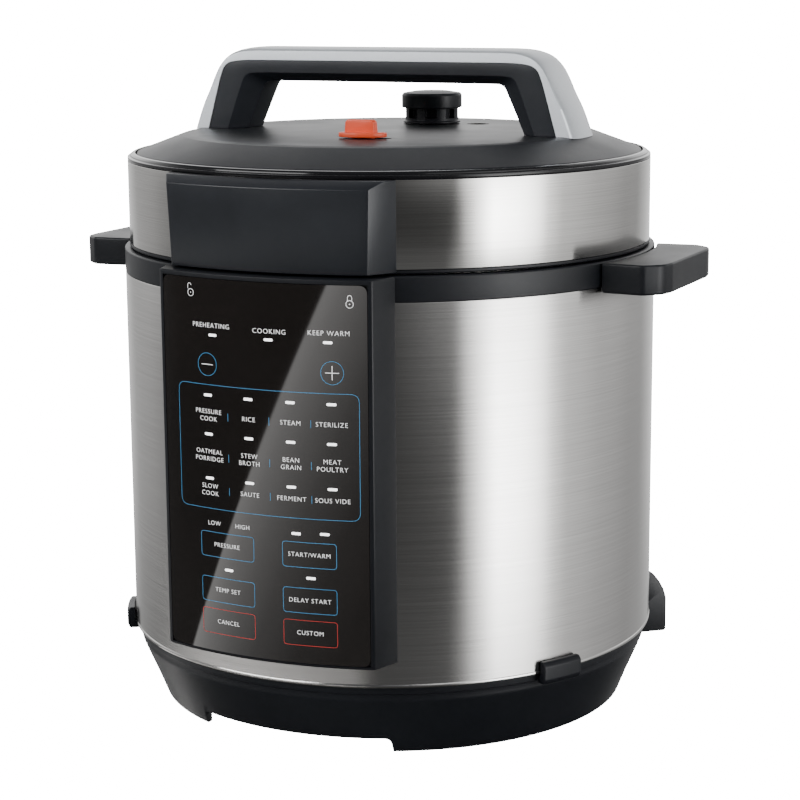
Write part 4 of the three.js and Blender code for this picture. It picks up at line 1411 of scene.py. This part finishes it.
def build_handle():
    half = core_high.y
    wide = between(inner_run, core_run, 0.42)
    sections = [
        (-half, core_run, wide), (-half * 0.55, core_run, inner_run),
        (half * 0.55, core_run, inner_run), (half, core_run, wide),
    ]
    core = swept("handle_core", sections)
    bores = [bore(2.3, 200, rise(0.34), 24, (x, 0)) for x in screw_places]
    cut(core, cover_room(FOOT_GAP), *bores)
    ease_edges(core, 0.5, 3, 30)
    grip_plastic = moulded_plastic("charcoal_nylon", (0.013, 0.015, 0.0195), 0.4, shine=0.4)
    fit(core, "lid", "black_plastic", grip_plastic, "lid_handle", smooth=28)
    half = cap_high.y
    seat = between(core_run, outer_run, 0.035)
    rounding = ((1.0, 0.08), (0.975, 0.72), (0.94, 0.8), (0.88, 0.86), (0.62, 0.95), (0.3, 0.99))
    shares = [(-side, share) for side, share in rounding] + [(0, 1.0)] + list(rounding[::-1])
    sections = [(half * side, between(core_run, outer_run, share), seat) for side, share in shares]
    cap = swept("handle_cap", sections)
    cut(cap, cover_room(FOOT_GAP))
    lacquer = silver_paint("silver_lacquer", 0.42, 0.5)
    fit(cap, "lid", "silver_paint", lacquer, "lid_handle_cap", smooth=24)
    # Painted highlight: the end faces, turned front and back, get a lighter copy of the lacquer.
    cap.data.materials.append(silver_paint("painted_highlight_lacquer", 0.84, 0.89))
    for face in cap.data.polygons:
        face.material_index = int(abs(face.normal.y) > HIGHLIGHT_FACING)


build_handle()

# --- Steam valve ---
# A black weighted knob over the steam pipe, with a domed cap and windows round its neck. The
# float valve beside it is a steel pin with a silicone foot, in its own hole.


def build_knob():
    t = cover_top
    profile = fillet(
        [(0, t + 17.4), (9, t + 17), (15.2, t + 16), (16, t + 14.8), (16, t + 8.3),
         (14.2, t + 8.3), (14.2, t + 1.5), (15.2, t + 1.2), (15.2, knob_low.z + 6.3),
         (9, knob_low.z + 6.3), (9, t + 6), (0, t + 6)],
        [0, 8, 0.8, 0.6, 0.5, 0.4, 0.5, 0.4, 0.4, 0, 0, 0],
    )
    knob = turned("steam_valve_knob", profile, 96, knob_middle)
    windows = []
    for k in range(8):
        spin = Matrix.Rotation(math.radians(45 * k + 22.5), 2)
        window = fillet(rect(10.5, 18, -3.1, 3.1), 0.8)
        outline = [tuple(spin @ Vector(p) + Vector(knob_middle)) for p in window]
        windows.append(prism("window", outline, t + 2.9, t + 7.8))
    cut(knob, *windows)
    fit_black(knob, "steam_valve", "steam_knob")


def build_float():
    low, high = float_low.z, float_high.z
    profile = fillet(
        [(0, low), (3.2, low), (3.2, high - 6.6), (5, high - 5.6), (5, high), (4.7, high),
         (4.5, high - 3), (0, high - 3.4)],
        [0, 0.5, 0.5, 0.8, 0.1, 0.1, 0.4, 0],
    )
    pin = turned("float_pin", profile, 48, float_middle)
    steel = plated_metal("float_steel", (0.05, 0.048, 0.045), 0.4)
    fit(pin, "float", "dark_steel", steel, "float_valve")
    refinish("float_seal", silicone)


build_knob()
build_float()

# --- Quick release ---
# An orange slider with an upright thumb tab. Its stem goes through the slot to a black lever
# under the cover, whose ramp lifts the steam valve.

orange = moulded_plastic("orange_abs", (0.82, 0.085, 0.026), 0.38, 0.06, 0.3)


def build_slider():
    base, leaf_top, tab_top = slider_high.z - 8.4, slider_high.z - 6.1, slider_high.z
    x, y = SLIDER_X, SLIDER_Y
    leaf_plan = fillet(
        [(-11, -4), (-7, -7.4), (1, -8.6), (9, -6), (13, -2), (13, 2), (5, 5), (-8, 4)],
        [2, 4, 8, 5, 1.5, 1.5, 4, 3], steps=6,
    )
    leaf = prism("slider_leaf", [(x + a, y + b) for a, b in leaf_plan], base, leaf_top)
    ease_edges(leaf, 0.5, 3)
    corners = [(-8.1, leaf_top - 1), (8.1, leaf_top - 1), (7.6, tab_top), (-7.6, tab_top)]
    tab_face = fillet(corners, [0, 0, 2.2, 2.2], steps=6)
    lying = Matrix(((1, 0, 0), (0, 0, 1), (0, 1, 0)))
    tab = prism("tab", [(x + a, b) for a, b in tab_face], y - 3, y + 2, lying)
    ease_edges(tab, 0.8, 4)
    stem = prism("stem", rect(x - 4, x + 6, y - 2.6, y + 2.6), slider_low.z, base + 1)
    cut(leaf, tab, stem, operation="UNION")
    fit(leaf, "quick_release", "orange_plastic", orange, "release_slider", smooth=30)
    refinish("release_lever", part_black)


build_slider()
